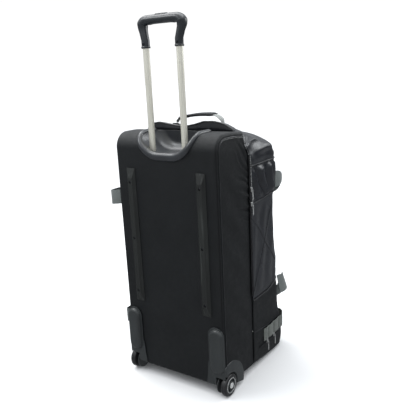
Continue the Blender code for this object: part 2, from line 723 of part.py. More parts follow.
def haul_handle(lid, haul):
    """Padded carrying handle on the lid's top edge."""
    y = HAUL_Y
    foot = haul_foot_z()
    half = HAUL_HALF_WIDTH
    guide = [(-0.0840, foot), (-0.0790, foot + 0.0125), (-0.0580, foot + 0.0245), (0.0, foot + 0.0310),
             (0.0580, foot + 0.0245), (0.0790, foot + 0.0125), (0.0840, foot)]
    path = [Vector(p) for p in smooth_path([Vector(p) for p in guide], 3)]
    rings = []
    for i, point in enumerate(path):
        run = (path[min(i + 1, len(path) - 1)] - path[max(i - 1, 0)]).normalized()
        normal = Vector((-run.y, run.x))
        under = point - normal * WEB_T / 2
        over = point + normal * WEB_T / 2
        wide = HAUL_FOOT_HALF + (half - HAUL_FOOT_HALF) * ease((point.y - foot) / 0.014)
        rings.append([(under.x, y - wide, under.y), (under.x, y + wide, under.y),
                      (over.x, y + wide, over.y), (over.x, y - wide, over.y)])
    add("haul_webbing", skin(rings), "webbing", haul, 50)
    rings = []
    for i, point in enumerate(path):
        if abs(point.x) > 0.058:
            continue
        run = (path[i + 1] - path[i - 1]).normalized()
        normal = Vector((-run.y, run.x))
        ring = []
        for dy, dz in rounded_rect((0.0, 0.0), (0.0175, 0.0042), 0.0040, 3):
            at = point + normal * dz
            ring.append((at.x, y + dy, at.y))
        rings.append(ring)
    sleeve = add("haul_grip", skin(rings), "back_fabric", haul, 50)
    loops = []
    for i, point in enumerate(path):
        if abs(point.x) > 0.0725:
            continue
        run = (path[i + 1] - path[i - 1]).normalized()
        normal = Vector((-run.y, run.x))
        under = point - normal * 0.0013
        over = point + normal * 0.0013
        loops.append([(under.x, y - half - GAP, under.y), (under.x, y + half + GAP, under.y),
                      (over.x, y + half + GAP, over.y), (over.x, y - half - GAP, over.y)])
    boolean(sleeve, cutter("haul_slot", skin(loops), haul), "DIFFERENCE")
    for side, word in SIDES:
        low, high = sorted((side * 0.0720, side * 0.0960))
        near, far = y - 0.0120, y + 0.0105
        outline = [(near, roof_z(near) + 0.0006), (far, roof_z(far) + 0.0006),
                   (far, roof_z(far) + 0.0022), (near, roof_z(near) + 0.0022)]
        add("haul_anchor_" + word, prism(outline, "x", low, high), "webbing", lid)


def zippers(root, lid, sliders):
    """Zipper tapes along the seam and the sliders with their pulls."""
    for word, parent, start, edge, width in (
        ("tub", root, 0.0400, -0.0008, -0.0060), ("lid", lid, RIM_Z + 0.004, 0.0008, 0.0060),
    ):
        levels = (start, 0.30, 0.50, 0.66, 0.69)
        near = [(seam_y(z) + edge, z) for z in levels]
        far = [(seam_y(z) + edge + width, z) for z in reversed(levels)]
        add("zipper_tape_" + word, prism(near + far, "x", 0.1796, 0.1808), "zipper", parent)
    for name, body, pull_body, y, z, x in sliders:
        slider = block((x, y - 0.0045, z - 0.006), (x + 0.0045, y + 0.0045, z + 0.006))
        add(name + "_slider", slider, "steel", body)
        outline = rounded_rect((y, z - 0.017), (0.0035, 0.016), 0.0030, 3)
        add(name + "_pull", prism(outline, "x", x + 0.0050, x + 0.0066), "steel", pull_body)


# ---- assembly ----
def build():
    clear_scene()
    frame = empty("bag_frame", (0, 0, 0))
    frame.location = BODY_SHIFT
    lid = empty("lid_axis", HINGE, frame)
    trolley = empty("trolley_axis", (0.0, TUBE_Y, GRIP_LOW), frame)
    release = empty("release_axis", (0.0, GRIP_Y, GRIP_TOP_MID), trolley)
    haul = empty("haul_axis", (0.0, HAUL_Y, haul_foot_z()), lid)
    wheels = [empty("wheel_axis_" + w, (s * 0.171, AXLE_Y, WHEEL_R), frame) for s, w in SIDES]
    wells = [well_cutter(1, frame), well_cutter(-1, frame)]
    cup_space = cutter("cup_space", prism(cup_outline(0.0, BODY_TOP + 0.04), "y", -0.02,
                                          CUP_DEPTH + GAP), frame)
    body_panels(frame, wells, cup_space)
    lid_and_bucket(frame, lid)
    handle_recess(frame, cup_space)
    tubes_and_grip(frame, trolley, release)
    rails(frame)
    corner_mouldings(frame, wells, wheels)
    feet(frame)
    straps(frame, lid)
    haul_handle(lid, haul)
    sliders = []
    for name, y, z, x in (
        ("main_upper", SEAM_Y, 0.600, 0.1812), ("main_lower", SEAM_Y, 0.555, 0.1812),
        ("pocket_rear", 0.265, 0.066, 0.1784), ("pocket_front", 0.314, 0.066, 0.1784),
    ):
        body = empty(name + "_slide_axis", (x, y, z), frame)
        pull = empty(name + "_pull_axis", (x + 0.0058, y, z - PULL_DROP), body)
        sliders.append((name, body, pull, y, z, x))
    zippers(frame, lid, sliders)


build()
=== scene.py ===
"""Looks of the large wheeled travel bag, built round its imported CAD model.

Shapes are written in the bag's own frame, as the CAD's are: x = 0 on its middle plane with +x to its right
as seen from behind, y = 0 on the back panel's outer face, z = 0 on the floor, in metres. SHIFT takes that
frame to the shared one.
"""

import math

import bmesh
import bpy
import numpy as np
from mathutils import Matrix, Vector, noise


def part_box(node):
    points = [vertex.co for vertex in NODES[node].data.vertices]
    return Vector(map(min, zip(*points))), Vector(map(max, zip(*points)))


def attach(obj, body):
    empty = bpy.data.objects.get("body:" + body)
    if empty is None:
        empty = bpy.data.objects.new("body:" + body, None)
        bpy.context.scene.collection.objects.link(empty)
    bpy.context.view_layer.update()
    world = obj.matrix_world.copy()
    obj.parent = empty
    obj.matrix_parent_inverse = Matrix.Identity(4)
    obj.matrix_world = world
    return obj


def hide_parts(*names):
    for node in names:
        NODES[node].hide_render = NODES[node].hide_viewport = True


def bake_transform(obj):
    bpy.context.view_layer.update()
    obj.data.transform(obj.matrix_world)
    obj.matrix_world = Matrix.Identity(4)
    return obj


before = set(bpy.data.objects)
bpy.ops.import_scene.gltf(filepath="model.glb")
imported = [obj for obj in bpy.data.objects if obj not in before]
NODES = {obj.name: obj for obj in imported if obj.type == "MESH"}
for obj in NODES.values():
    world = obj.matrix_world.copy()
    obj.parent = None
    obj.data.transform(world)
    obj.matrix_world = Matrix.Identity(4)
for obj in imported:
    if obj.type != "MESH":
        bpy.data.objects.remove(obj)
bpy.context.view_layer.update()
PANEL_LOW, PANEL_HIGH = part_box("back_panel")
SHIFT = np.array([(PANEL_LOW.x + PANEL_HIGH.x) / 2, PANEL_LOW.y, 0.0])
SIDES = ((1, "right"), (-1, "left"))

# ---- the bag's main sizes, as in the CAD ----
HALF_WIDTH = 0.1765
BODY_TOP = 0.778
TOP_EDGE_R = 0.045
SEAM_Y = 0.176
RIDGE_Y = 0.145
PIPE_Y = 0.0115  # the piping between the back panel and the gussets
RIM_Z = 0.2450
RIM_RISE = 0.021  # the visible border rises a little at the front
FLOOR_LINE = ((0.0, 0.0345), (0.07, 0.0300), (0.176, 0.0215), (0.27, 0.0100), (0.33, 0.0048))
CORNER_R = 0.048
TUBE_X, TUBE_Y = 0.0574, 0.0285
TUBE_RX, TUBE_RY = 0.0097, 0.0080
GRIP_LOW, GRIP_TOP_MID = 1.010, 1.0835
CUP_X, CUP_HALF, CUP_BOTTOM, CUP_CORNER_R = 0.004, 0.0940, 0.7180, 0.072
CUP_BACK = 0.1003
GRIP_Y = 0.0325
AXLE_Y, WHEEL_R = 0.0247, 0.0345
AXLE = (AXLE_Y, WHEEL_R)
WELL_R, WELL_IN = 0.0425, 0.1497
WEB_WIDTH = 0.044
STRAP_UPPER_Z, STRAP_LOWER_Z, BAND_Z = 0.583, 0.190, 0.0975
HAUL_Y = 0.192
LID_STATIONS = (  # height, front face, half width
    (0.2458, 0.3715, 0.1780), (0.300, 0.3705, 0.1780), (0.345, 0.3680, 0.1785), (0.430, 0.360, 0.1785),
    (0.500, 0.3525, 0.1785), (0.550, 0.359, 0.1785), (0.600, 0.3695, 0.1785), (0.640, 0.371, 0.1785),
    (0.675, 0.3680, 0.1780), (0.700, 0.358, 0.1780), (0.720, 0.324, 0.1775), (0.740, 0.282, 0.1755),
    (0.760, 0.238, 0.1725), (0.775, 0.203, 0.1690), (0.787, 0.178, 0.1660), (0.795, 0.164, 0.1640),
)
BUCKET_STATIONS = (
    (0.008, 0.396, 0.1715), (0.013, 0.4045, 0.1745), (0.022, 0.4085, 0.1760), (0.045, 0.4102, 0.1770),
    (0.075, 0.4072, 0.1775), (0.120, 0.3982, 0.1775), (0.165, 0.3855, 0.1775), (0.205, 0.3765, 0.1775),
    (0.2450, 0.3715, 0.1775),
)


# ---- numbers and curves ----
def ease(value):
    """0 below 0, 1 above 1, and smooth between."""
    value = np.clip(value, 0.0, 1.0)
    return value * value * (3 - 2 * value)


def window(value, low, high, soft):
    """1 between low and high, falling to 0 over soft on both sides."""
    return ease((value - low + soft) / soft) * ease((high + soft - value) / soft)


def wander(points, scale, seed=0.0):
    """Smooth noise from about -1 to 1 at each point."""
    flat = np.asarray(points, float).reshape(-1, 3) * scale + seed
    found = [noise.noise(Vector(p)) for p in flat]
    return np.array(found).reshape(np.asarray(points).shape[:-1])


def run_along(points):
    """Length of a polyline up to each of its points."""
    return np.concatenate([[0], np.cumsum(np.linalg.norm(np.diff(points, axis=0), axis=1))])


def read_at(at, run, points):
    """Points of a polyline at given lengths along it, with any number of columns."""
    return np.stack([np.interp(at, run, points[:, k]) for k in range(points.shape[1])], axis=-1)


def resample(points, count):
    """That many points evenly spaced along a polyline."""
    points = np.asarray(points, float)
    run = run_along(points)
    return read_at(np.linspace(0, run[-1], count), run, points)


def smooth_curve(points, steps=8):
    """Catmull-Rom curve through guide points of any number of columns."""
    guide = np.asarray(points, float)
    guide = np.vstack([2 * guide[0] - guide[1], guide, 2 * guide[-1] - guide[-2]])
    path = []
    for i in range(1, len(guide) - 2):
        a, b, c, d = guide[i - 1 : i + 3]
        for t in np.arange(steps) / steps:
            path.append(0.5 * (2 * b + (c - a) * t + (2 * a - 5 * b + 4 * c - d) * t * t
                               + (3 * b - a - 3 * c + d) * t**3))
    path.append(guide[-2])
    return np.array(path)


def arc(centre, radius, start_deg, end_deg, steps):
    """Points of a circle's arc."""
    turns = np.radians(np.linspace(start_deg, end_deg, steps + 1))
    return np.stack([centre[0] + radius * np.cos(turns), centre[1] + radius * np.sin(turns)], axis=1)


def ellipse(rx, ry, sides):
    turns = np.arange(sides) * 2 * math.pi / sides
    return np.stack([rx * np.cos(turns), ry * np.sin(turns)], axis=1)


def rounded_rect(half_u, half_v, radius, steps=4):
    corners = ((1, 1, 0), (-1, 1, 90), (-1, -1, 180), (1, -1, 270))
    return np.vstack([
        arc((su * (half_u - radius), sv * (half_v - radius)), radius, turn, turn + 90, steps)
        for su, sv, turn in corners
    ])


def seam_y(z):
    """The main zipper on the sides: upright, leaning back near the top."""
    return SEAM_Y - (SEAM_Y - RIDGE_Y) * ease((z - 0.68) / 0.10)


def rim_z(y):
    """Height of the border between the lid and the bucket."""
    return RIM_Z + RIM_RISE * ease((y - 0.27) / 0.09)


def floor_z(y):
    """Height of the bag's underside."""
    ys, zs = zip(*FLOOR_LINE)
    return np.interp(y, ys, zs)


def top_z(y):
    """Height of the back part's top, which falls a little towards the ridge."""
    return BODY_TOP - 0.006 * ease((y - 0.08) / 0.07)


def ridge_z(x):
    """The lid's top edge has two soft humps."""
    xs = (-0.166, -0.154, -0.118, -0.091, -0.050, -0.016, 0.015, 0.046, 0.081, 0.114, 0.138, 0.151, 0.163)
    zs = (0.774, 0.787, 0.794, 0.789, 0.7840, 0.7835, 0.7895, 0.7980, 0.7988, 0.792, 0.780, 0.766, 0.746)
    return np.interp(x, xs, zs)


# ---- meshes ----
def unit(vectors):
    """The vectors at length 1."""
    vectors = np.asarray(vectors, float)
    return vectors / np.maximum(np.linalg.norm(vectors, axis=-1, keepdims=True), 1e-12)


def grid_faces(rows, columns, wrap=False, flip=False):
    """Four-sided faces between the rows of a grid of points."""
    faces = []
    for i in range(rows - 1):
        for j in range(columns if wrap else columns - 1):
            k = (j + 1) % columns
            face = [i * columns + j, i * columns + k, (i + 1) * columns + k, (i + 1) * columns + j]
            faces.append(face[::-1] if flip else face)
    return faces


def loft(rings, closed=False):
    """A body through rings of equal length: capped at both ends, or joined into a loop."""
    rings = np.asarray(rings, float)
    count, sides = rings.shape[:2]
    faces = grid_faces(count, sides, wrap=True)
    if closed:
        last = (count - 1) * sides
        faces += [[last + j, last + (j + 1) % sides, (j + 1) % sides, j] for j in range(sides)]
    else:
        faces.append(list(range(sides))[::-1])
        faces.append([(count - 1) * sides + j for j in range(sides)])
    return rings.reshape(-1, 3), faces


def sweep(path, section, out=None, scales=None, closed=False):
    """A section of (out, across) points carried along a path; out gives its direction at each point."""
    path = np.asarray(path, float)
    if closed:
        along = unit(np.roll(path, -1, axis=0) - np.roll(path, 1, axis=0))
    else:
        along = unit(np.gradient(path, axis=0))
    if out is None:
        start = np.cross(along[0], (0.31, 0.22, 0.92))
        outs = [unit(start)]
        for direction in along[1:]:
            outs.append(unit(outs[-1] - direction * np.dot(outs[-1], direction)))
        out = np.array(outs)
    else:
        out = np.broadcast_to(np.asarray(out, float), path.shape)
        out = unit(out - along * (out * along).sum(1, keepdims=True))
    across = np.cross(along, out)
    scales = np.ones(len(path)) if scales is None else np.asarray(scales, float)
    section = np.asarray(section, float)
    rings = (path[:, None] + out[:, None] * section[None, :, :1] * scales[:, None, None]
             + across[:, None] * section[None, :, 1:] * scales[:, None, None])
    return loft(rings, closed)


def lathe(profile, centre, side, segments=64):
    """Turned about an axis along X through (y, z) = centre, from (x, radius) points; a closed section."""
    turns = np.arange(segments) * 2 * math.pi / segments
    profile = np.asarray(profile, float)
    rings = np.zeros((len(profile), segments, 3))
    rings[:, :, 0] = side * profile[:, :1]
    rings[:, :, 1] = centre[0] + profile[:, 1:] * np.cos(turns)
    rings[:, :, 2] = centre[1] + profile[:, 1:] * np.sin(turns)
    return rings


def stack(axis, layers):
    """Rings from plane outlines, each at its place along the axis across them."""
    return np.array([np.insert(np.asarray(outline, float), axis, place, axis=1) for place, outline in layers])


def slab(outline, axis, low, high):
    """A closed prism on an outline in the plane across an axis."""
    return loft(stack(axis, [(low, outline), (high, outline)]))


def joined(*parts):
    """Several (vertices, faces) meshes as one."""
    verts, faces, start = [], [], 0
    for part_verts, part_faces in parts:
        verts.append(np.asarray(part_verts, float))
        faces += [[start + i for i in face] for face in part_faces]
        start += len(part_verts)
    return np.vstack(verts), faces


def make(name, mesh_parts, material, body, replaces=(), smooth_deg=40, solid=True):
    """A new piece that rides on a body. Closed pieces get outward normals."""
    verts, faces = mesh_parts
    mesh = bpy.data.meshes.new(name)
    mesh.from_pydata([tuple(v) for v in np.asarray(verts) + SHIFT], [], faces)
    if solid:
        outward(mesh)
    mesh.materials.append(material)
    mesh.shade_smooth()
    mesh.set_sharp_from_angle(angle=math.radians(smooth_deg))
    made = bpy.data.objects.new(name, mesh)
    bpy.context.scene.collection.objects.link(made)
    if body:
        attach(made, body)
    if replaces:
        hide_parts(*replaces)
    return made


def outward(mesh):
    """Turns a closed mesh's faces to look outwards."""
    bm = bmesh.new()
    bm.from_mesh(mesh)
    bmesh.ops.recalc_face_normals(bm, faces=bm.faces)
    bm.to_mesh(mesh)
    bm.free()


def bevel(obj, width, segments=2, angle_deg=30):
    """Rounds a piece's sharp edges."""
    step = obj.modifiers.new("Edges", "BEVEL")
    step.width = width
    step.segments = segments
    step.limit_method = "ANGLE"
    step.angle_limit = math.radians(angle_deg)
    step.harden_normals = True


def thicken(obj, thickness, lining=None):
    """Gives a sheet its thickness inwards, with the lining on its inner face."""
    step = obj.modifiers.new("Thickness", "SOLIDIFY")
    step.thickness = thickness
    step.offset = -1.0
    if lining:
        obj.data.materials.append(lining)
        step.material_offset = 1


def cut_panel(grid):
    """Turns a sewn cloth panel's surface, given as rows of points, into an array, and does nothing more with
    it.
    """
    grid = np.asarray(grid, float)


def apply_modifiers(obj):
    """Replaces the object's mesh with its evaluated one."""
    bpy.context.view_layer.update()
    graph = bpy.context.evaluated_depsgraph_get()
    mesh = bpy.data.meshes.new_from_object(obj.evaluated_get(graph))
    obj.modifiers.clear()
    obj.data = mesh


def cut(obj, name, mesh_parts):
    """Cuts a closed shape out of a piece for good."""
    tool = make(name, mesh_parts, obj.data.materials[0], None)
    step = obj.modifiers.new("Cut", "BOOLEAN")
    step.operation = "DIFFERENCE"
    step.object = tool
    step.solver = "EXACT"
    apply_modifiers(obj)
    bpy.data.objects.remove(tool)


def well_space(side, inner, radius):
    """The round space of a wheel well, to be cut out of the pieces round it."""
    return loft(lathe([(inner, radius), (0.230, radius)], AXLE, side, 56))


def finish_cut(obj, nodes, smooth_deg):
    """Shades a piece again after its cuts, puts it on the bag and hides the CAD parts it replaces."""
    obj.data.shade_smooth()
    obj.data.set_sharp_from_angle(angle=math.radians(smooth_deg))
    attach(obj, "bag")
    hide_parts(*nodes)


# ---- materials ----
def new_material(name, colour, roughness, **sockets):
    made = bpy.data.materials.new(name)
    made.use_nodes = True
    shader = made.node_tree.nodes["Principled BSDF"]
    shader.inputs["Base Color"].default_value = (*colour, 1.0)
    shader.inputs["Roughness"].default_value = roughness
    for key, value in sockets.items():
        shader.inputs[key.replace("_", " ")].default_value = value
    return made


def add_node(tree, kind, inputs=None, **settings):
    made = tree.nodes.new("ShaderNode" + kind)
    for key, value in settings.items():
        setattr(made, key, value)
    for key, value in (inputs or {}).items():
        if isinstance(value, bpy.types.NodeSocket):
            tree.links.new(value, made.inputs[key])
        else:
            made.inputs[key].default_value = value
    return made


def calc(tree, operation, a, b=0.0):
    return add_node(tree, "Math", {0: a, 1: b}, operation=operation).outputs[0]


def fabric_axes(tree):
    """Two coordinates that run along the yarns on the back, sides, front and top alike."""
    place = add_node(tree, "TexCoord").outputs["Object"]
    axes = add_node(tree, "SeparateXYZ", {0: place}).outputs
    across = calc(tree, "SUBTRACT", axes[1], calc(tree, "ABSOLUTE", axes[0]))
    return across, calc(tree, "ADD", axes[2], axes[1])


def weave(tree, period):
    """Height of a plain weave: warp and weft yarns that pass over each other in turn."""
    across, up = fabric_axes(tree)
    sines = [calc(tree, "SINE", calc(tree, "MULTIPLY", axis, math.pi / period)) for axis in (across, up)]
    over = calc(tree, "GREATER_THAN", calc(tree, "MULTIPLY", sines[0], sines[1]), 0.0)
    high = [calc(tree, "ABSOLUTE", wave) for wave in sines]
    flat = [calc(tree, "POWER", wave, 0.4) for wave in high]
    warp = calc(tree, "MULTIPLY", flat[0], high[1])
    weft = calc(tree, "MULTIPLY", high[0], flat[1])
    return add_node(tree, "Mix", {0: over, 2: weft, 3: warp}).outputs[0]


def blotch(tree, scale, detail=3.0, stretch=(1, 1, 1)):
    """Soft noise from 0 to 1."""
    place = add_node(tree, "TexCoord").outputs["Object"]
    place = add_node(tree, "Mapping", {"Vector": place, "Scale": stretch}).outputs[0]
    return add_node(tree, "TexNoise", {"Vector": place, "Scale": scale, "Detail": detail}).outputs[0]


def ramp(tree, factor, low, high, colour_low, colour_high):
    made = add_node(tree, "ValToRGB", {0: factor})
    made.color_ramp.elements[0].position = low
    made.color_ramp.elements[1].position = high
    made.color_ramp.elements[0].color = (*colour_low, 1)
    made.color_ramp.elements[1].color = (*colour_high, 1)
    return made.outputs[0]


def span(tree, factor, low, high, to_low, to_high):
    """Takes a factor from one range to another, held at its ends."""
    return add_node(tree, "MapRange", {0: factor, 1: low, 2: high, 3: to_low, 4: to_high}).outputs[0]


def mix_colour(tree, factor, a, b):
    made = add_node(tree, "Mix", data_type="RGBA")
    for index, value in ((0, factor), (6, a), (7, b)):
        if isinstance(value, bpy.types.NodeSocket):
            tree.links.new(value, made.inputs[index])
        elif index:
            made.inputs[index].default_value = (*value, 1)
        else:
            made.inputs[index].default_value = value
    return made.outputs[2]


def finish_shader(material, colour=None, roughness=None, bumps=()):
    """Links colour and roughness, and stacks bumps given as (height, strength, distance)."""
    tree = material.node_tree
    shader = tree.nodes["Principled BSDF"]
    if colour is not None:
        tree.links.new(colour, shader.inputs["Base Color"])
    if roughness is not None:
        tree.links.new(roughness, shader.inputs["Roughness"])
    normal = None
    for height, strength, distance in bumps:
        inputs = {"Height": height, "Strength": strength, "Distance": distance}
        if normal is not None:
            inputs["Normal"] = normal
        normal = add_node(tree, "Bump", inputs).outputs[0]
    if normal is not None:
        tree.links.new(normal, shader.inputs["Normal"])
    return material


def woven(name, dark, light, period, roughness, bump, crinkle=0.0, **sockets):
    """Cloth: yarns with dark gaps between them, uneven fading, and fine crinkles where wanted."""
    made = new_material(name, light, roughness, **sockets)
    tree = made.node_tree
    yarns = weave(tree, period)
    faded = blotch(tree, 9.0, 4.0)
    thread_and_glint = mix_colour(tree, span(tree, yarns, 0.0, 0.7, 0.0, 1.0), [c * 0.35 for c in dark], light)
    colour = mix_colour(tree, span(tree, faded, 0.35, 0.7, 0.0, 0.75), thread_and_glint, dark)
    bumps = [(yarns, 0.5, bump)]
    if crinkle:
        bumps.insert(0, (blotch(tree, 34.0, 5.0, (1.0, 1.0, 0.55)), 0.55, crinkle))
    rough = span(tree, blotch(tree, 60.0, 2.0), 0.3, 0.7, roughness - 0.06, roughness + 0.06)
    return finish_shader(made, colour, rough, bumps)


def moulded(name, dark, light, roughness, grain, **sockets):
    """Injection moulded plastic: fine leather grain, handling marks and uneven gloss."""
    made = new_material(name, light, roughness, **sockets)
    tree = made.node_tree
    pebbles = add_node(tree, "TexVoronoi", {"Vector": add_node(tree, "TexCoord").outputs["Object"],
                                            "Scale": 900.0}).outputs["Distance"]
    marks = blotch(tree, 14.0, 6.0, (1.0, 1.0, 0.35))
    colour = ramp(tree, marks, 0.35, 0.72, dark, light)
    rough = span(tree, marks, 0.3, 0.75, roughness + 0.08, roughness - 0.06)
    return finish_shader(made, colour, rough, [(pebbles, 0.35, grain)])


def scuffed_rail(name):
    """Rail plastic, paler and rougher in long scrapes along the crest."""
    made = moulded(name, (0.0085, 0.0096, 0.0092), (0.0150, 0.0172, 0.0160), 0.46, 0.0001,
                   Specular_IOR_Level=0.30)
    tree = made.node_tree
    shader = tree.nodes["Principled BSDF"]
    scrapes = blotch(tree, 160.0, 3.0, (1.0, 1.0, 0.04))
    base = shader.inputs["Base Color"].links[0].from_socket
    worn = mix_colour(tree, span(tree, scrapes, 0.56, 0.66, 0.0, 0.65), base, (0.032, 0.036, 0.034))
    return finish_shader(made, worn)


def brushed(name, colour, roughness, stretch, metal=1.0):
    """Drawn metal: fine lines along its length. Less metal is a satin, anodised finish."""
    made = new_material(name, colour, roughness, Metallic=metal)
    tree = made.node_tree
    lines = blotch(tree, 700.0, 2.0, stretch)
    tint = ramp(tree, lines, 0.3, 0.7, [c * 0.86 for c in colour], colour)
    rough = span(tree, lines, 0.3, 0.7, roughness - 0.05, roughness + 0.09)
    return finish_shader(made, tint, rough, [(lines, 0.12, 0.0001)])


def rubber(name):
    made = new_material(name, (0.010, 0.010, 0.011), 0.34, Specular_IOR_Level=0.5)
    tree = made.node_tree
    dust = blotch(tree, 45.0, 5.0)
    colour = ramp(tree, dust, 0.5, 0.85, (0.0065, 0.0068, 0.0075), (0.020, 0.0195, 0.019))
    rough = span(tree, dust, 0.4, 0.8, 0.28, 0.5)
    return finish_shader(made, colour, rough, [(blotch(tree, 500.0), 0.2, 0.0002)])


def quilted_lining(name):
    return woven(name, (0.060, 0.064, 0.070), (0.095, 0.100, 0.108), 0.0011, 0.62, 0.00015, 0.0012,
                 Specular_IOR_Level=0.25)


def webbing_cloth(name, dark, light):
    """Webbing: ribs across its width, made of fine yarns."""
    made = new_material(name, light, 0.72, Specular_IOR_Level=0.25, Sheen_Weight=0.15)
    tree = made.node_tree
    across, up = fabric_axes(tree)
    ribs = calc(tree, "ABSOLUTE", calc(tree, "SINE", calc(tree, "MULTIPLY", across, math.pi / 0.0021)))
    yarns = calc(tree, "ABSOLUTE", calc(tree, "SINE", calc(tree, "MULTIPLY", up, math.pi / 0.0013)))
    knit = calc(tree, "ADD", calc(tree, "MULTIPLY", ribs, 0.7), calc(tree, "MULTIPLY", yarns, 0.3))
    tone = mix_colour(tree, span(tree, knit, 0.15, 0.9, 0.0, 1.0), [c * 0.45 for c in dark], light)
    colour = mix_colour(tree, span(tree, blotch(tree, 22.0), 0.35, 0.7, 0.0, 0.6), tone, dark)
    return finish_shader(made, colour, None, [(knit, 0.6, 0.0005)])


LINING = quilted_lining("lining_cloth")
BALLISTIC = woven("ballistic_cloth", (0.0042, 0.0050, 0.0058), (0.0088, 0.0103, 0.0114), 0.0016, 0.50,
                  0.0004, Specular_IOR_Level=0.24)
NYLON = woven("nylon_cloth", (0.0044, 0.0056, 0.0084), (0.0080, 0.0098, 0.0142), 0.0009, 0.33, 0.00008,
              0.0004, Specular_IOR_Level=0.62)
WEBBING = webbing_cloth("webbing_cloth", (0.075, 0.086, 0.084), (0.125, 0.138, 0.134))
BAND_WEBBING = webbing_cloth("band_webbing_cloth", (0.058, 0.066, 0.059), (0.105, 0.116, 0.104))
PALE_WEBBING = webbing_cloth("pale_webbing_cloth", (0.21, 0.22, 0.21), (0.33, 0.34, 0.33))
DARK_WEBBING = webbing_cloth("dark_webbing_cloth", (0.012, 0.013, 0.015), (0.024, 0.026, 0.030))
MOULDING = moulded("moulded_plastic", (0.0140, 0.0165, 0.0172), (0.0230, 0.0265, 0.0272), 0.38, 0.00008,
                   Specular_IOR_Level=0.45)
RAIL = scuffed_rail("rail_plastic")
RIM = moulded("rim_plastic", (0.013, 0.0145, 0.0170), (0.0210, 0.0235, 0.0270), 0.30, 0.00004,
              Specular_IOR_Level=0.6)
GRIP = moulded("grip_plastic", (0.0085, 0.0108, 0.0132), (0.0140, 0.0172, 0.0208), 0.27, 0.00005,
               Specular_IOR_Level=0.55)
TUBE = brushed("tube_aluminium", (0.90, 0.88, 0.77), 0.30, (1.0, 1.0, 0.012), metal=0.75)
STEEL = brushed("screw_steel", (0.50, 0.51, 0.52), 0.32, (1.0, 1.0, 1.0))
CAP_METAL = brushed("cap_metal", (0.66, 0.67, 0.66), 0.34, (1.0, 1.0, 1.0), metal=0.45)
DULL_METAL = brushed("pull_metal", (0.36, 0.365, 0.36), 0.40, (1.0, 1.0, 1.0), metal=0.5)
DARK_STEEL = brushed("blackened_steel", (0.035, 0.036, 0.040), 0.38, (1.0, 1.0, 1.0))
TYRE = rubber("tyre_rubber")
PIPING = moulded("piping_vinyl", (0.0070, 0.0080, 0.0095), (0.0130, 0.0145, 0.0165), 0.32, 0.00005,
                 Specular_IOR_Level=0.5)
TAPE = woven("zipper_tape", (0.005, 0.005, 0.006), (0.009, 0.009, 0.011), 0.0008, 0.70, 0.0002,
             Specular_IOR_Level=0.2)
# Pale thread. On the piping's stitches over the top it is also painted highlight, standing in for glints.
PALE_THREAD_AND_GLINT = woven("thread_and_glint", (0.30, 0.305, 0.30), (0.52, 0.53, 0.52), 0.0006, 0.55, 0.0001)
DARK_THREAD = woven("dark_thread", (0.010, 0.011, 0.013), (0.020, 0.022, 0.025), 0.0006, 0.55, 0.0001)
BOARD = moulded("fibre_board", (0.050, 0.047, 0.043), (0.085, 0.080, 0.072), 0.70, 0.0003)


# ---- the back part ----
def back_profile(step=0.0065):
    """Side view of the back and top: points (y, z) and their outward normals, from the foot to the ridge."""
    bend = BODY_TOP - TOP_EDGE_R
    foot = [(0.0, z, -1.0, 0.0) for z in np.linspace(0.0400, bend, 108)]
    turn = [
        (TOP_EDGE_R - TOP_EDGE_R * math.cos(t), bend + TOP_EDGE_R * math.sin(t), -math.cos(t), math.sin(t))
        for t in np.radians(np.linspace(0, 90, 13)[1:])
    ]
    roof = [(y, float(top_z(y)), 0.0, 1.0) for y in np.linspace(TOP_EDGE_R, RIDGE_Y - 0.0015, 16)[1:]]
    rows = np.array(foot + turn + roof)
    return rows[:, :2], rows[:, 2:]


def cup_outline(inset, top, steps=24):
    """U-shaped outline of the handle recess, seen from behind: from its right leg to its left leg."""
    half, radius, level = CUP_HALF - inset, CUP_CORNER_R - inset, CUP_BOTTOM + CUP_CORNER_R
    right = arc((CUP_X + half - radius, level), radius, 0, -90, steps)
    left = arc((CUP_X - half + radius, level), radius, 270, 180, steps)
    return np.vstack([[(CUP_X + half, top)], right, left, [(CUP_X - half, top)]])


def back_cross():
    """Points (x, depth) across the back, from the left piping over its flat face to the right one."""
    edge_r = 0.0085
    flat = np.linspace(-(HALF_WIDTH - edge_r), HALF_WIDTH - edge_r, 55)
    corner = np.radians(np.linspace(0, 90, 6)[1:])
    cross = [(x, 0.0) for x in flat]
    cross += [(HALF_WIDTH - edge_r + edge_r * math.sin(t), edge_r - edge_r * math.cos(t)) for t in corner]
    cross += [(HALF_WIDTH, PIPE_Y)]
    return np.array([(-x, depth) for x, depth in reversed(cross[len(flat):])] + cross)


def make_back_skin():
    """One sheet over the back and the top: it rolls round the side edges to the piping."""
    points, normals = back_profile()
    cross = back_cross()
    verts = np.zeros((len(points), len(cross), 3))
    verts[:, :, 0] = cross[:, 0]
    verts[:, :, 1:] = points[:, None] - normals[:, None] * cross[None, :, 1:]
    aside, height = np.abs(verts[:, :, 0]), verts[:, :, 2]
    tall = window(height, 0.10, 0.70, 0.08)
    sunk = np.clip(1 - (aside / 0.168) ** 2, 0, 1) ** 0.5  # pressed in by the rails
    between = np.cos(np.clip(aside / 0.105, 0, 1) * math.pi / 2)  # swells again between them
    relief = (0.0022 * between - 0.0016 * sunk) * tall
    relief += 0.0007 * wander(verts, 9.0) + 0.0003 * wander(verts, 30.0, 4.0)
    relief *= window(height, 0.05, 0.9, 0.03) * ease((HALF_WIDTH - 0.004 - aside) / 0.02)
    verts[:, :, 1:] += normals[:, None] * (relief + 0.0002)[:, :, None]
    skin = make("back_skin", (verts.reshape(-1, 3), grid_faces(*verts.shape[:2])), BALLISTIC, None,
                solid=False)
    thicken(skin, 0.0035, LINING)
    apply_modifiers(skin)
    cut(skin, "cup_space", slab(cup_outline(0.0003, BODY_TOP + 0.04), 1, -0.02, 0.1033))
    for side, word in SIDES:
        cut(skin, "well_space_" + word, well_space(side, WELL_IN, WELL_R))
    finish_cut(skin, ("back_panel", "top_panel"), 45)
    cut_panel(verts)


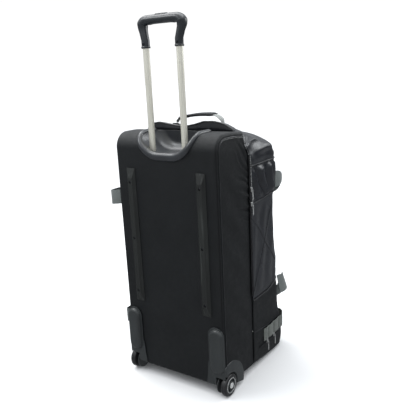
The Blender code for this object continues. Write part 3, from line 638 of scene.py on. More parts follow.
def gusset_edge(level):
    """The gusset's rear edge below the piping: y at that height; and its top under the rounding."""
    radius = TOP_EDGE_R - PIPE_Y
    bend = BODY_TOP - TOP_EDGE_R
    lift = np.clip(level - bend, 0, radius)
    return TOP_EDGE_R - np.sqrt(radius**2 - lift**2)


def gusset_y(level, across):
    """Depth on a gusset at a height, from 0 at the piping to 1 at the main zipper."""
    rear, front = float(gusset_edge(level)), float(seam_y(level)) - 0.0012
    return rear + (front - rear) * across


def make_gussets():
    """Side panels between the piping and the main zipper, gathered along the zipper near the top."""
    foot, top_line = 0.0385, BODY_TOP - PIPE_Y - 0.0005
    shares = np.linspace(0, 1, 31)
    for side, word in SIDES:
        rows = []
        for share in np.linspace(0.0, 1.0, 128):
            row = []
            for across in shares:
                y = gusset_y(foot + share * (top_line - foot), across)
                low = float(floor_z(y)) + 0.003
                high = min(top_line, float(top_z(y)) - PIPE_Y + 0.0045 * ease((y - 0.10) / 0.05))
                z = low + (high - low) * share
                row.append((0.0, gusset_y(z, across), z))
            rows.append(row)
        verts = np.array(rows)
        y, z = verts[:, :, 1], verts[:, :, 2]
        across = shares[None, :]
        drift = wander(verts, 14.0, 3.0 + side)
        near_seam = ease((across - 0.38) / 0.55)
        gathered = window(z, 0.545, 0.715, 0.06)
        lean = z + (0.45 + 4.0 * np.clip(z - 0.60, 0, 0.12)) * (y - SEAM_Y) + 0.006 * drift
        folds = 0.60 * np.sin(2 * math.pi * lean / 0.0245 + 2.2 * drift)
        folds = folds + 0.40 * np.sin(2 * math.pi * lean / 0.0150 + 1.0 + 3.0 * drift)
        relief = 0.0030 * folds * near_seam * gathered * ease((1.0 - across) / 0.05)
        broad = np.sin(2 * math.pi * (z + 0.9 * y + 0.02 * drift) / 0.115)
        relief += 0.0018 * broad * np.sin(math.pi * across) * window(z, 0.12, 0.60, 0.1)
        relief += 0.0030 * np.sin(math.pi * across) ** 0.8 * window(z, 0.09, 0.72, 0.05)
        relief += 0.0006 * wander(verts, 25.0, 9.0) * np.sin(math.pi * across)
        verts[:, :, 0] = side * (HALF_WIDTH - 0.0018 + relief)
        faces = grid_faces(*verts.shape[:2], flip=side < 0)
        gusset = make("gusset_skin_" + word, (verts.reshape(-1, 3), faces), BALLISTIC, None, solid=False)
        thicken(gusset, 0.0030, LINING)
        apply_modifiers(gusset)
        cut(gusset, "gusset_well_" + word, well_space(side, WELL_IN - 0.004, WELL_R))
        finish_cut(gusset, ("gusset_" + word,), 45)
        cut_panel(verts)


def stitch_row(path, outs, length=0.0034, gap=0.0022, thick=0.00045, wide=0.0006):
    """Short raised threads along a path, each a flat lozenge that bulges at its middle."""
    path = np.asarray(path, float)
    outs = np.broadcast_to(np.asarray(outs, float), path.shape)
    run = run_along(path)
    parts = []
    for start in np.arange(0.001, run[-1] - length, length + gap):
        at = np.linspace(start, start + length, 3)
        middle, out = read_at(at, run, path), read_at(at, run, outs)
        parts.append(sweep(middle, ellipse(thick, wide, 5), out, scales=(0.45, 1.0, 0.45)))
    return joined(*parts)


def make_piping():
    """Cord and stitches along the edge between the back skin and a gusset, from above the wheel. The pale
    stitches over the top are painted highlight.
    """
    points, normals = back_profile()
    keep = points[:, 1] > 0.0860
    points, normals = points[keep], normals[keep]
    for side, word in SIDES:
        inner = points - normals * (PIPE_Y + 0.0008)
        path = np.column_stack([np.full(len(inner), side * (HALF_WIDTH + 0.0006)), inner])
        make("piping_" + word, sweep(resample(path, 150), ellipse(0.0017, 0.0017, 10)), PIPING, "bag")
        # The stitches above 0.64 m are pale thread, made larger: painted highlight for the glints along the
        # top of the seam. Below 0.60 m they are dark thread.
        for name, away, first, last, thread_and_glint, reach in (
            ("piping_glint_stitches_", 0.0032, 0.640, 1.0, PALE_THREAD_AND_GLINT, 0.0010),
            ("gusset_stitches_", 0.0068, 0.0, 0.60, DARK_THREAD, 0.0005),
        ):
            inner = points - normals * (PIPE_Y + 0.0008 + away)
            sewn = inner[(inner[:, 1] > first) & (inner[:, 1] < last)]
            line = np.column_stack([np.full(len(sewn), side * (HALF_WIDTH - 0.0004)), sewn])
            make(name + word, stitch_row(line, (side, 0, 0), 0.0040, 0.0034, reach, reach), thread_and_glint, "bag")


# ---- the lid and the bucket ----
SIDE_COLUMNS, CORNER_COLUMNS, FRONT_COLUMNS = 26, 11, 40
COLUMNS = 2 * (SIDE_COLUMNS + CORNER_COLUMNS + 1) + FRONT_COLUMNS - 1
LID_ROWS, BUCKET_ROWS = 92, 44
SEAM_GAP = 0.0016  # the front part's sides start this far in front of the zipper
LID_PIPES = (("lid_piping_upper", 0.668, 0.0), ("lid_piping_lower", 0.553, 0.010))  # name, height, rise
QUILT_SEAMS = (  # straight runs as (y, z, y, z, points)
    ((0.180, 0.512, 0.234, 0.458, 24), (0.2345, 0.4575, 0.259, 0.418, 14),
     (0.2593, 0.4175, 0.340, 0.326, 34)),
    ((0.181, 0.262, 0.2585, 0.4165, 44), (0.2590, 0.418, 0.318, 0.538, 44)),
)


def plan_row(z, front, half, start):
    """Plan outline of the front part at one height: right seam, side, corner, front, and mirrored."""
    radius = min(CORNER_R, 0.62 * (front - start), 0.45 * half)
    flat = front - radius
    side = [(half, start + (flat - start) * k / SIDE_COLUMNS) for k in range(SIDE_COLUMNS)]
    corner = [tuple(p) for p in arc((half - radius, flat), radius, 0, 90, CORNER_COLUMNS)]
    inner = half - radius
    middle = [(inner - 2 * inner * k / FRONT_COLUMNS, front) for k in range(1, FRONT_COLUMNS)]
    half_row = side + corner
    mirrored = [(-x, y) for x, y in reversed(half_row)]
    return [(x, y, z) for x, y in half_row + middle + mirrored]


def lofted(stations, count):
    """Rows of the plan outline, evenly spaced along the front's own profile."""
    curve = resample(smooth_curve([(front, z, half) for z, front, half in stations], 10), count)
    return np.array([plan_row(z, front, half, float(seam_y(z)) + SEAM_GAP) for front, z, half in curve])


def edge_taper():
    """0 at the front part's two side edges, rising to 1 four columns in."""
    columns = np.arange(COLUMNS)
    return ease(np.minimum(columns, columns[::-1]) / 4.0)[None, :]


class Skin:
    """A grid surface that can be read between its points by row and column."""

    def __init__(self, points):
        self.points = points
        self.rest = points.copy()

    def at(self, row, column, source=None):
        grid = self.points if source is None else source
        i = int(np.clip(math.floor(row), 0, grid.shape[0] - 2))
        j = int(np.clip(math.floor(column), 0, grid.shape[1] - 2))
        s, t = row - i, column - j
        return ((1 - s) * ((1 - t) * grid[i, j] + t * grid[i, j + 1])
                + s * ((1 - t) * grid[i + 1, j] + t * grid[i + 1, j + 1]))

    def normal(self, row, column):
        along = self.at(row, column + 0.5) - self.at(row, column - 0.5)
        up = self.at(row + 0.5, column) - self.at(row - 0.5, column)
        return unit(np.cross(along, up))

    def row_of(self, z, column):
        levels = self.rest[:, int(column), 2]
        return float(np.interp(z, levels, np.arange(len(levels))))

    def column_of(self, y, row, side):
        ys = np.array([self.at(row, c, self.rest)[1] for c in range(SIDE_COLUMNS + CORNER_COLUMNS)])
        column = float(np.interp(y, ys, np.arange(len(ys))))
        return column if side > 0 else COLUMNS - 1 - column

    def on_side(self, y, z, side):
        """Row and column of the side's point at that y and z of the shape before it was puffed."""
        column = SIDE_COLUMNS / 2 if side > 0 else COLUMNS - 1 - SIDE_COLUMNS / 2
        for _ in range(4):
            row = self.row_of(z, round(column))
            column = self.column_of(y, row, side)
        return row, column

    def line(self, cells, lift=0.0):
        """Points and normals on the surface at (row, column) cells, lifted off it."""
        outs = np.array([self.normal(r, c) for r, c in cells])
        return np.array([self.at(r, c) for r, c in cells]) + outs * lift, outs


def side_line(skin, y0, z0, y1, z1, steps, side):
    """Cells along a straight line on a side."""
    return [skin.on_side(y0 + (y1 - y0) * t, z0 + (z1 - z0) * t, side) for t in np.linspace(0, 1, steps)]


def level_cells(skin, z, rise=0.0, first=0.6, last=COLUMNS - 1.6):
    """Cells round the lid at one height, which may rise towards the front."""
    cells = []
    for column in np.linspace(first, last, 220):
        y = skin.at(skin.row_of(z, round(column)), column, skin.rest)[1]
        level = z + rise * float(ease((y - SEAM_Y) / 0.19))
        cells.append((skin.row_of(level, round(column)), column))
    return cells


def quilt_lines(skin, side):
    """The crossing seams on the lid's sides."""
    return [[cell for run in runs for cell in side_line(skin, *run, side)] for runs in QUILT_SEAMS]


def lid_shape():
    """The lid before its folds, with a border that rises to the front and two humps on its top edge."""
    skin = Skin(lofted(LID_STATIONS, LID_ROWS))
    p = skin.points
    y, z = p[:, :, 1], p[:, :, 2]
    lower = 1 - ease((z - RIM_Z) / 0.13)
    p[:, :, 2] += lower * (rim_z(y) - RIM_Z)
    near_ridge = ease((0.250 - y) / 0.09) * ease((z - 0.715) / 0.07)
    p[:, :, 2] += near_ridge * (ridge_z(p[:, :, 0]) - 0.7955) * 0.9
    p[:, :, 1] = np.maximum(p[:, :, 1], seam_y(p[:, :, 2]) + SEAM_GAP)
    skin.rest = p.copy()
    return skin


def lid_folds(skin):
    """Outward offsets for the designed folds, in metres, before the cloth simulation."""
    p = skin.rest
    x, y, z = p[:, :, 0], p[:, :, 1], p[:, :, 2]
    depth = np.clip((y - SEAM_Y) / 0.19, 0, 1)
    on_side = ease((np.abs(x) - 0.145) / 0.025)
    on_front = 1 - on_side
    drift = wander(p, 11.0, 2.0)
    small = wander(p, 24.0, 7.0)
    # the swollen zone between the two piping lines, with folds that fan out from the zipper
    puffed = window(z, 0.578, 0.650, 0.018)
    fan = 0.55 * (z - 0.668) + 1.1 * (y - SEAM_Y) + 0.016 * drift
    ripple = np.sin(2 * math.pi * fan / 0.052 + 2.0 * drift + 1.2 * small)
    fold = 0.0062 * puffed * on_side * ripple * ease((1.05 - depth) / 0.5)
    fold += 0.0050 * puffed * np.sin(math.pi * np.clip(depth * 0.92, 0, 1)) * on_side
    # faint upright pleats over the quilt seams
    pleat = y + 0.16 * (0.45 - z) + 0.007 * drift
    pleats = np.sin(2 * math.pi * pleat / 0.060 + 1.2 * small)
    fold += 0.0016 * on_side * window(z, 0.285, 0.50, 0.05) * pleats
    # broad sags on the top slope, a roll over the upper piping and a groove under it
    slope = ease((z - 0.690) / 0.02) * ease((0.792 - z) / 0.02)
    sag = np.abs(x) * 0.9 + (z - 0.70) * 1.3 - (y - 0.20) * 0.25 + 0.012 * drift
    fold += 0.0060 * slope * np.sin(2 * math.pi * sag / 0.105 + 1.2 * drift - 0.6)
    fold += 0.0045 * np.exp(-(((z - 0.684) / 0.010) ** 2)) * (0.7 + 0.5 * drift)
    fold -= 0.0022 * np.exp(-(((z - 0.661) / 0.006) ** 2))
    # long swags across the front
    swag = np.sin(2 * math.pi * (z + 0.25 * np.abs(x) + 0.02 * drift) / 0.095 + 1.6 * drift)
    fold += 0.0034 * on_front * window(z, 0.30, 0.66, 0.05) * swag
    return fold + 0.0014 * small


def pinned_mask(skin):
    """1 where the lid is sewn down: its edges, the piping lines, the quilting and the strap's path."""
    rows, columns = skin.points.shape[:2]
    held = np.zeros((rows, columns))
    held[:, [0, 1, -1, -2]] = 1
    held[:2] = 1
    held[skin.rest[:, columns // 2, 2] > 0.772] = 1
    lines = [level_cells(skin, height, rise) for _, height, rise in LID_PIPES]
    for side, _ in SIDES:
        lines += quilt_lines(skin, side)
    for cells in lines:
        for row, column in cells:
            i, j = int(round(row)), int(round(column))
            if 0 <= i < rows and 0 <= j < columns:
                held[i, j] = 1
    x, z = skin.rest[:, :, 0], skin.rest[:, :, 2]
    strap = window(z, 0.563, 0.603, 0.004) * (x < 0.05)
    return np.maximum(held, 0.8 * strap)


def puff(points, held, frames=18, slack=0.035, pressure=5.0, most=0.010):
    """Lets the sheet swell as cloth between the places where it is held. No point moves more than most."""
    rows, columns = points.shape[:2]
    mesh = bpy.data.meshes.new("cloth_run")
    mesh.from_pydata([tuple(v) for v in points.reshape(-1, 3)], [], grid_faces(rows, columns))
    run = bpy.data.objects.new("cloth_run", mesh)
    bpy.context.scene.collection.objects.link(run)
    group = run.vertex_groups.new(name="held")
    for index, weight in enumerate(held.reshape(-1)):
        if weight > 0:
            group.add([index], float(weight), "REPLACE")
    cloth = run.modifiers.new("Cloth", "CLOTH")
    settings = cloth.settings
    settings.vertex_group_mass = "held"
    settings.quality = 6
    settings.mass = 0.25
    settings.tension_stiffness = settings.compression_stiffness = 18
    settings.shear_stiffness = 6
    settings.bending_stiffness = 0.9
    settings.shrink_min = -slack
    settings.use_pressure = True
    settings.uniform_pressure_force = pressure
    settings.effector_weights.gravity = 0
    cloth.collision_settings.use_collision = False
    scene = bpy.context.scene
    for step in range(1, frames + 1):
        scene.frame_set(step)
    graph = bpy.context.evaluated_depsgraph_get()
    moved = np.array([v.co for v in run.evaluated_get(graph).data.vertices]).reshape(points.shape)
    scene.frame_set(1)
    bpy.data.objects.remove(run)
    step = moved - points
    length = np.linalg.norm(step, axis=2, keepdims=True)
    return points + step * np.minimum(1, most / np.maximum(length, 1e-9))


def surface_normals(grid):
    """Outward normals at each point of a grid surface."""
    return unit(np.cross(np.gradient(grid, axis=1), np.gradient(grid, axis=0)))


def lid_flange(edge):
    """Rows that carry the lid's top edge up to the ridge and down behind it."""
    ridge = edge.copy()
    ridge[:, 2] = ridge_z(ridge[:, 0]) + 0.0008
    ridge[:, 1] = np.maximum(RIDGE_Y + 0.0012, seam_y(ridge[:, 2]) + 0.0010)
    foot = np.minimum(0.7742, ridge[:, 2] - 0.0015)
    rows = [edge * (1 - t) + ridge * t for t in (0.35, 0.7)] + [ridge]
    for back, share in ((0.0006, 0.35), (0.0012, 0.7), (0.0012, 1.0)):
        row = ridge - (0, back, 0)
        row[:, 2] += (foot - ridge[:, 2]) * share
        rows.append(row)
    return np.array(rows)


def make_lid():
    """The lid's fabric: designed folds, swollen as cloth, and a flange behind its top edge."""
    skin = lid_shape()
    held = pinned_mask(skin)
    outs = surface_normals(skin.rest)
    free = 1 - held
    free = np.minimum.reduce([free, np.roll(free, 1, 0) * 0.5 + 0.5, np.roll(free, -1, 0) * 0.5 + 0.5])
    folds = lid_folds(skin) * free * edge_taper() * (skin.rest[:, :, 2] < 0.785)
    skin.points = skin.rest + outs * folds[:, :, None]
    skin.points = puff(skin.points, held)
    x, z = skin.rest[:, :, 0], skin.rest[:, :, 2]
    pressed = (window(z, 0.560, 0.606, 0.006) * ease((0.06 - x) / 0.02))[:, :, None]  # under the strap
    skin.points = skin.points * (1 - pressed) + skin.rest * pressed
    rows = np.concatenate([skin.points, lid_flange(skin.points[-1])])
    faces = grid_faces(len(rows), COLUMNS)
    shell = make("lid_skin", (rows.reshape(-1, 3), faces), NYLON, "lid", ("lid_shell",), 60,
                 solid=False)
    thicken(shell, 0.0022, LINING)
    cut_panel(rows)
    return skin


def lay(skin, name, cells, lift, body, section=None):
    """A cord of that section laid along cells of a surface, or a row of stitches without one."""
    path, outs = skin.line(cells, lift)
    if section is None:
        make(name, stitch_row(path, outs), DARK_THREAD, body)
    else:
        make(name, sweep(path, section, outs), PIPING, body)


def make_lid_trim(skin):
    """Piping, stitches and quilting seams, laid on the puffed surface."""
    for name, height, rise in LID_PIPES:
        cells = level_cells(skin, height, rise)
        lay(skin, name, cells, 0.0012, "lid", ellipse(0.0021, 0.0021, 8))
        lay(skin, name + "_stitches", [(row - 0.75, column) for row, column in cells], 0.0006, "lid")
    for side, word in SIDES:
        for number, cells in enumerate(quilt_lines(skin, side), 1):
            path, outs = skin.line(cells, 0.0004)
            cord = sweep(resample(path, 60), ellipse(0.0007, 0.0013, 6), resample(outs, 60))
            make(f"quilt_seam_{word}_{number}", cord, PIPING, "lid")


def make_ridge_piping(skin):
    """Cord along the lid's top edge that turns down a little way beside the zipper."""
    top = skin.points[-1][2 : COLUMNS - 2]
    level = ridge_z(top[:, 0]) + 0.0012
    ridge = np.column_stack([top[:, 0], np.maximum(RIDGE_Y - 0.0002, seam_y(level) - 0.0004), level])
    keep = [0]
    for i in range(1, len(ridge)):
        if np.linalg.norm(ridge[i] - ridge[keep[-1]]) > 0.003:
            keep.append(i)
    edges = []
    for column, side in ((0, 1), (-1, -1)):
        edge = skin.rest[:, column] + (side * 0.0012, -0.0004, 0)
        edge = edge[(edge[:, 2] > 0.694) & (edge[:, 2] < ridge[keep[-1 if side < 0 else 0], 2] - 0.004)]
        edges.append(edge[np.argsort(edge[:, 2])])
    path = np.vstack([edges[0], ridge[keep], edges[1][::-1]])
    path = resample(smooth_curve(resample(path, 60), 4), 240)
    make("ridge_piping", sweep(path, ellipse(0.0021, 0.0021, 8)), PIPING, "lid")


def make_bucket():
    """The lower front: a taut bucket with a bound rim, a seam and a zipped pocket."""
    grid = lofted(BUCKET_STATIONS, BUCKET_ROWS)
    y, z = grid[:, :, 1].copy(), grid[:, :, 2].copy()
    high = ease((z - 0.11) / 0.13)
    grid[:, :, 2] += high * (rim_z(y) - RIM_Z - 0.0006)
    low = 1 - ease((z - 0.008) / 0.05)
    foot = np.maximum(floor_z(y) + 0.0040, 0.0085)
    grid[:, :, 2] += low * (foot - 0.008)
    outs = surface_normals(grid)
    drift = wander(grid, 12.0, 5.0)
    swell = np.sin(2 * math.pi * (z + 0.3 * y + 0.02 * drift) / 0.16 + 1.0)
    relief = 0.0022 * swell * window(z, 0.06, 0.21, 0.04)
    relief += 0.0010 * drift + 0.0005 * wander(grid, 30.0, 8.0)
    relief = relief * (1 - window(z, 0.048, 0.086, 0.014))  # flat behind the pocket's sliders
    grid = grid + outs * (relief * edge_taper() * ease((grid[:, :, 2] - 0.02) / 0.03))[:, :, None]
    skin = Skin(grid)
    faces = grid_faces(len(grid), COLUMNS)
    bucket = make("bucket_skin", (grid.reshape(-1, 3), faces), BALLISTIC, "bag", ("front_bucket",),
                  60, solid=False)
    thicken(bucket, 0.0030, LINING)
    cut_panel(grid)
    columns = np.linspace(0.5, COLUMNS - 1.5, 220)
    rim = [(len(grid) - 1.4, column) for column in columns]
    lay(skin, "bucket_rim_piping", rim, 0.0008, "bag", ellipse(0.0020, 0.0020, 8))
    lay(skin, "bucket_rim_stitches", [(row - 1.0, column) for row, column in rim], 0.0005, "bag")
    seam = []
    for column in columns:
        here = skin.at(skin.row_of(0.13, round(column)), column)
        level = 0.134 - 0.012 * float(ease((here[1] - 0.182) / 0.09))
        seam.append((skin.row_of(level, round(column)), column))
    lay(skin, "bucket_seam", seam, 0.0002, "bag", ellipse(0.0009, 0.0014, 6))
    base = [(skin.row_of(0.0, 0) + 1.2, column) for column in columns]
    lay(skin, "bucket_foot_piping", base, 0.0006, "bag", ellipse(0.0022, 0.0022, 8))
    return skin


# ---- moulded and metal parts ----
def make_cup():
    """The handle recess: a glossy moulded tray with a hole for each tube."""
    top, fillet = BODY_TOP - 0.0005, 0.030
    rings = []
    outline = resample(cup_outline(0.0010, top, 30), 130)
    for share in np.linspace(0, 1, 10):
        ring = []
        for x, z in outline:
            rise = np.clip((z - (BODY_TOP - TOP_EDGE_R)) / TOP_EDGE_R, 0, 0.9999)
            edge = TOP_EDGE_R * (1 - math.sqrt(1 - rise**2)) + 0.0006
            ring.append((x, edge + (CUP_BACK - fillet - edge) * share, z))
        rings.append(ring)
    for turn in np.radians(np.linspace(0, 90, 10)[1:]):
        inner = resample(cup_outline(0.0010 + fillet * (1 - math.cos(turn)), top, 30), 130)
        rings.append([(x, CUP_BACK - fillet + fillet * math.sin(turn), z) for x, z in inner])
    rings = np.array(rings)
    rings[:, :, 2] = np.minimum(rings[:, :, 2], top_z(rings[:, :, 1]) - 0.0004)
    count = rings.shape[1]
    faces = grid_faces(len(rings), count)
    last = (len(rings) - 1) * count
    faces.append([last + j for j in range(count)])
    cup = make("cup_tray", (rings.reshape(-1, 3), faces), RIM, None, solid=False, smooth_deg=50)
    for polygon in cup.data.polygons:
        polygon.flip()
    cup.data.update()
    thicken(cup, 0.0016)
    apply_modifiers(cup)
    for side, word in SIDES:
        ring = ellipse(TUBE_RX + 0.0011, TUBE_RY + 0.0011, 40) + (side * TUBE_X, TUBE_Y)
        cut(cup, "cup_hole_" + word, slab(ring, 2, CUP_BOTTOM - 0.02, CUP_BOTTOM + 0.05))
    finish_cut(cup, ("handle_cup",), 50)


def on_back(x, run):
    """A point of the back part's skin and its outward normal; run is measured upwards and over the top."""
    bend = BODY_TOP - TOP_EDGE_R
    if run <= bend:
        return np.array((x, 0.0, run)), np.array((0, -1.0, 0))
    turn = (run - bend) / TOP_EDGE_R
    if turn <= math.pi / 2:
        normal = np.array((0, -math.cos(turn), math.sin(turn)))
        return np.array((x, TOP_EDGE_R, bend)) + TOP_EDGE_R * normal, normal
    y = TOP_EDGE_R + run - bend - TOP_EDGE_R * math.pi / 2
    return np.array((x, y, float(top_z(y)))), np.array((0, 0, 1.0))


def make_cup_rim():
    """The raised rim round the recess: a half-round bead, wider along its bottom."""
    half, radius = CUP_HALF + 0.0035, CUP_CORNER_R + 0.0035
    level = CUP_BOTTOM + CUP_CORNER_R
    reach = BODY_TOP - TOP_EDGE_R + TOP_EDGE_R * math.pi / 2 + 0.050
    leg = [(half, run) for run in np.linspace(reach, level, 30)[:-1]]
    bend = [tuple(p) for p in arc((half - radius, level), radius, 0, -90, 26)]
    flat = leg + bend
    path = [(CUP_X + x, run) for x, run in flat] + [(CUP_X - x, run) for x, run in reversed(flat)]
    line, outs = (np.array(found) for found in zip(*(on_back(x, run) for x, run in resample(path, 150))))
    along = unit(np.gradient(line, axis=0))
    across = np.cross(along, outs)
    taper = np.minimum(1, 0.35 + np.minimum(np.arange(150), np.arange(150)[::-1]) / 5.0)
    rings = []
    for point, out, sideways, run, scale in zip(line, outs, across, along, taper):
        half_width = 0.0068 + 0.0047 * abs(run[0]) ** 2
        rings.append([point + sideways * (half_width * math.cos(t) * scale)
                      + out * (0.0002 + 0.0070 * math.sin(t) * scale)
                      for t in np.radians(np.linspace(-10, 190, 17))])
    make("cup_rim", loft(np.array(rings)), RIM, "bag", ("handle_cup_rim",), 60)


def tube_rings(side, rx, ry, levels):
    """Oval rings round a handle tube's axis, from (height, growth) pairs."""
    return stack(2, [(z, ellipse(rx + grow, ry + grow, 48) + (side * TUBE_X, TUBE_Y)) for z, grow in levels])


def make_tubes():
    """Oval aluminium tubes: fixed outer ones inside the bag, sliding inner ones, and collars in the cup."""
    for side, word in SIDES:
        for name, body, rx, ry, low, high, replaced in (
            ("sleeve_", "bag", TUBE_RX + 0.0017, TUBE_RY + 0.0017, 0.300, 0.7108, "tube_sleeve_"),
            ("inner_tube_", "trolley", TUBE_RX, TUBE_RY, 0.620, 1.030, "trolley_tube_"),
        ):
            wall = tube_rings(side, rx, ry, ((low, -0.0012), (low, 0.0), (high, 0.0), (high, -0.0012)))
            tube = make(name + word, loft(wall, closed=True), TUBE, body, (replaced + word,))
            bevel(tube, 0.0003)
        collar = tube_rings(side, TUBE_RX, TUBE_RY, (
            (0.7126, 0.0006), (0.7126, 0.0046), (0.7152, 0.0046), (0.7162, 0.0034), (0.7160, 0.0010),
            (0.7150, 0.0006),
        ))
        make("tube_collar_" + word, loft(collar, closed=True), GRIP, "bag")


def make_grip():
    """The hand grip: flared legs, a soft bar, a parting line and moulded collars."""
    half = [
        (TUBE_X, TUBE_Y, GRIP_LOW, 1.0, 0.0, 0.0112, 0.0108),
        (TUBE_X, TUBE_Y, GRIP_LOW + 0.003, 1.0, 0.0, 0.0116, 0.0112),
        (TUBE_X, TUBE_Y, GRIP_LOW + 0.018, 1.0, 0.0, 0.0114, 0.0110),
        (TUBE_X + 0.0006, TUBE_Y + 0.0003, GRIP_LOW + 0.027, 1.0, 0.0, 0.0113, 0.0110),
        (TUBE_X + 0.0040, TUBE_Y + 0.0014, GRIP_LOW + 0.037, 1.0, 0.0, 0.0116, 0.0114),
        (TUBE_X + 0.0078, TUBE_Y + 0.0030, GRIP_LOW + 0.047, 1.0, 0.0, 0.0124, 0.0126),
        (TUBE_X + 0.0090, GRIP_Y, GRIP_LOW + 0.056, 1.0, 0.0, 0.0134, 0.0142),
    ]
    for turn in (15, 30, 45, 60, 75, 90):
        t = math.radians(turn)
        half.append((0.0485 + math.cos(t) * 0.0190, GRIP_Y, 1.0705 + math.sin(t) * 0.0130, math.cos(t),
                     math.sin(t), 0.0138 - 0.0010 * turn / 90, 0.0155))
    for x in (0.034, 0.018, 0.0):
        half.append((x, GRIP_Y, GRIP_TOP_MID + 0.0002, 0.0, 1.0, 0.0128, 0.0160))
    rings = half + [(-x, y, z, -ox, oz, w, d) for x, y, z, ox, oz, w, d in reversed(half[:-1])]
    rings = resample(smooth_curve(rings, 8), 170)
    sides = 32
    turns = np.arange(sides) * 2 * math.pi / sides
    loops = []
    for x, y, z, out_x, out_z, width, depth in rings:
        out = unit(np.array((out_x, 0.0, out_z)))
        bar = float(ease((0.050 - abs(x)) / 0.01)) * float(ease((z - 1.06) / 0.02))
        ring = []
        for t in turns:
            cosine, sine = math.cos(t), math.sin(t)
            flat = (abs(cosine) ** 2.2 + abs(sine) ** 2.2) ** (-1 / 2.2)
            u, v = width * cosine * flat, depth * sine * flat
            if cosine < 0:
                u -= bar * 0.0009 * math.cos(2 * math.pi * x / 0.022) * abs(cosine)
            groove = 1 - 0.020 * math.exp(-((cosine / 0.07) ** 2))
            ring.append(np.array((x, y, z)) + out * u * groove + np.array((0, v * groove, 0)))
        loops.append(ring)
    make("hand_grip", loft(np.array(loops)), GRIP, "trolley", ("trolley_grip",), 60)
    for side, word in SIDES:
        section = rounded_rect(0.0122, 0.0117, 0.0100, 6)
        collar = stack(2, [
            (GRIP_LOW + rise, section * scale + (side * TUBE_X, TUBE_Y))
            for rise, scale in ((-0.0002, 0.95), (0.0006, 1.0), (0.0044, 1.0), (0.0052, 0.95))
        ])
        make("grip_collar_" + word, loft(collar), GRIP, "trolley")


def make_kick_plate(side, word):
    """The corner guard: a thin flared plate with a domed capsule that takes the knocks."""
    inner_edge = ((0.1255, 0.150), (0.1254, 0.120), (0.1218, 0.105), (0.1195, 0.075), (0.1150, 0.0415))
    outline = np.vstack([
        [(0.1795, 0.050), (0.1795, 0.200)], arc((0.1525, 0.200), 0.027, 0, 180, 24),
        smooth_curve(inner_edge, 8), [(0.1795, 0.0415)],
    ]) * (side, 1)
    plate = make("kick_plate_skin_" + word, slab(outline, 1, -0.0032, -0.0003), MOULDING, None)
    cut(plate, "plate_well_" + word, well_space(side, WELL_IN - 0.002, WELL_R - 0.001))
    bevel(plate, 0.0011, 3)
    layers = []
    for share in np.linspace(0, 1, 12):
        t = share * math.pi / 2
        half = 0.0240 - 0.0112 * (1 - math.cos(t)) + 0.0008 * (share < 0.01)
        ring = np.vstack([arc((0.1545, 0.1975), half, 0, 180, 24), arc((0.1545, 0.1035), half, 180, 360, 24)])
        layers.append((-0.0028 - 0.0095 * math.sin(t), ring * (side, 1)))
    make("kick_capsule_" + word, loft(stack(1, layers)), MOULDING, "bag", smooth_deg=50)
    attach(plate, "bag")
    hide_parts("kick_plate_" + word)


def make_housing(side, word):
    """The wheel housing: an arch round the wheel with a lipped side face."""
    rings = []
    for degrees in np.linspace(119.0, -18.0, 72):
        cosine, sine = math.cos(math.radians(degrees)), math.sin(math.radians(degrees))
        edge = 0.083 - 0.000125 * (degrees + 11)
        if cosine < 0:
            edge = min(edge, (AXLE_Y - 0.0006) / -cosine)
        profile = (
            (0.1500, 0.020), (0.1530, 0.020), (0.1530, 0.0390), (0.1795, 0.0390), (0.1807, 0.0397),
            (0.1811, 0.0411), (0.1807, 0.0425), (0.1797, 0.0433), (0.1795, edge - 0.0035),
            (0.1790, edge - 0.0012), (0.1780, edge), (0.1766, edge + 0.0004), (0.1764, 0.0422),
            (0.1500, 0.0422),
        )
        rings.append([(side * x, AXLE_Y + r * cosine, WHEEL_R + r * sine) for x, r in profile])
    arch = loft(np.array(rings))
    disc = loft(lathe([(0.1502, 0.0300), (0.1534, 0.0300)], AXLE, side, 48))
    boss = loft(lathe([(0.1530, 0.0110), (0.1560, 0.0100), (0.1572, 0.0080)], AXLE, side, 32))
    make("housing_" + word, joined(arch, disc, boss), MOULDING, "bag", ("wheel_housing_" + word,))


TYRE_X, TYRE_HALF = 0.17375, 0.00925
WHEEL_FACE = TYRE_X + TYRE_HALF


def make_tyre(side, word):
    """A rubber tyre with a rounded tread and two fine grooves."""
    middle, reach = TYRE_X, TYRE_HALF
    profile = []
    for t in np.radians(np.linspace(-90, 90, 25)):
        bulge = abs(math.sin(t)) ** 0.7 * math.copysign(1, math.sin(t))
        profile.append((middle + reach * bulge, 0.0262 + 0.0083 * abs(math.cos(t)) ** 0.55))
    for x in (middle - 0.0028, middle + 0.0028):
        index = min(range(len(profile)), key=lambda i: abs(profile[i][0] - x))
        profile[index] = (profile[index][0], profile[index][1] - 0.0007)
    profile += [(middle + reach * 0.98, 0.0240), (middle - reach * 0.98, 0.0240)]
    make("tyre_" + word, loft(lathe(profile, AXLE, side, 96), closed=True), TYRE, "wheel_" + word,
         ("wheel_tyre_" + word,), 50)


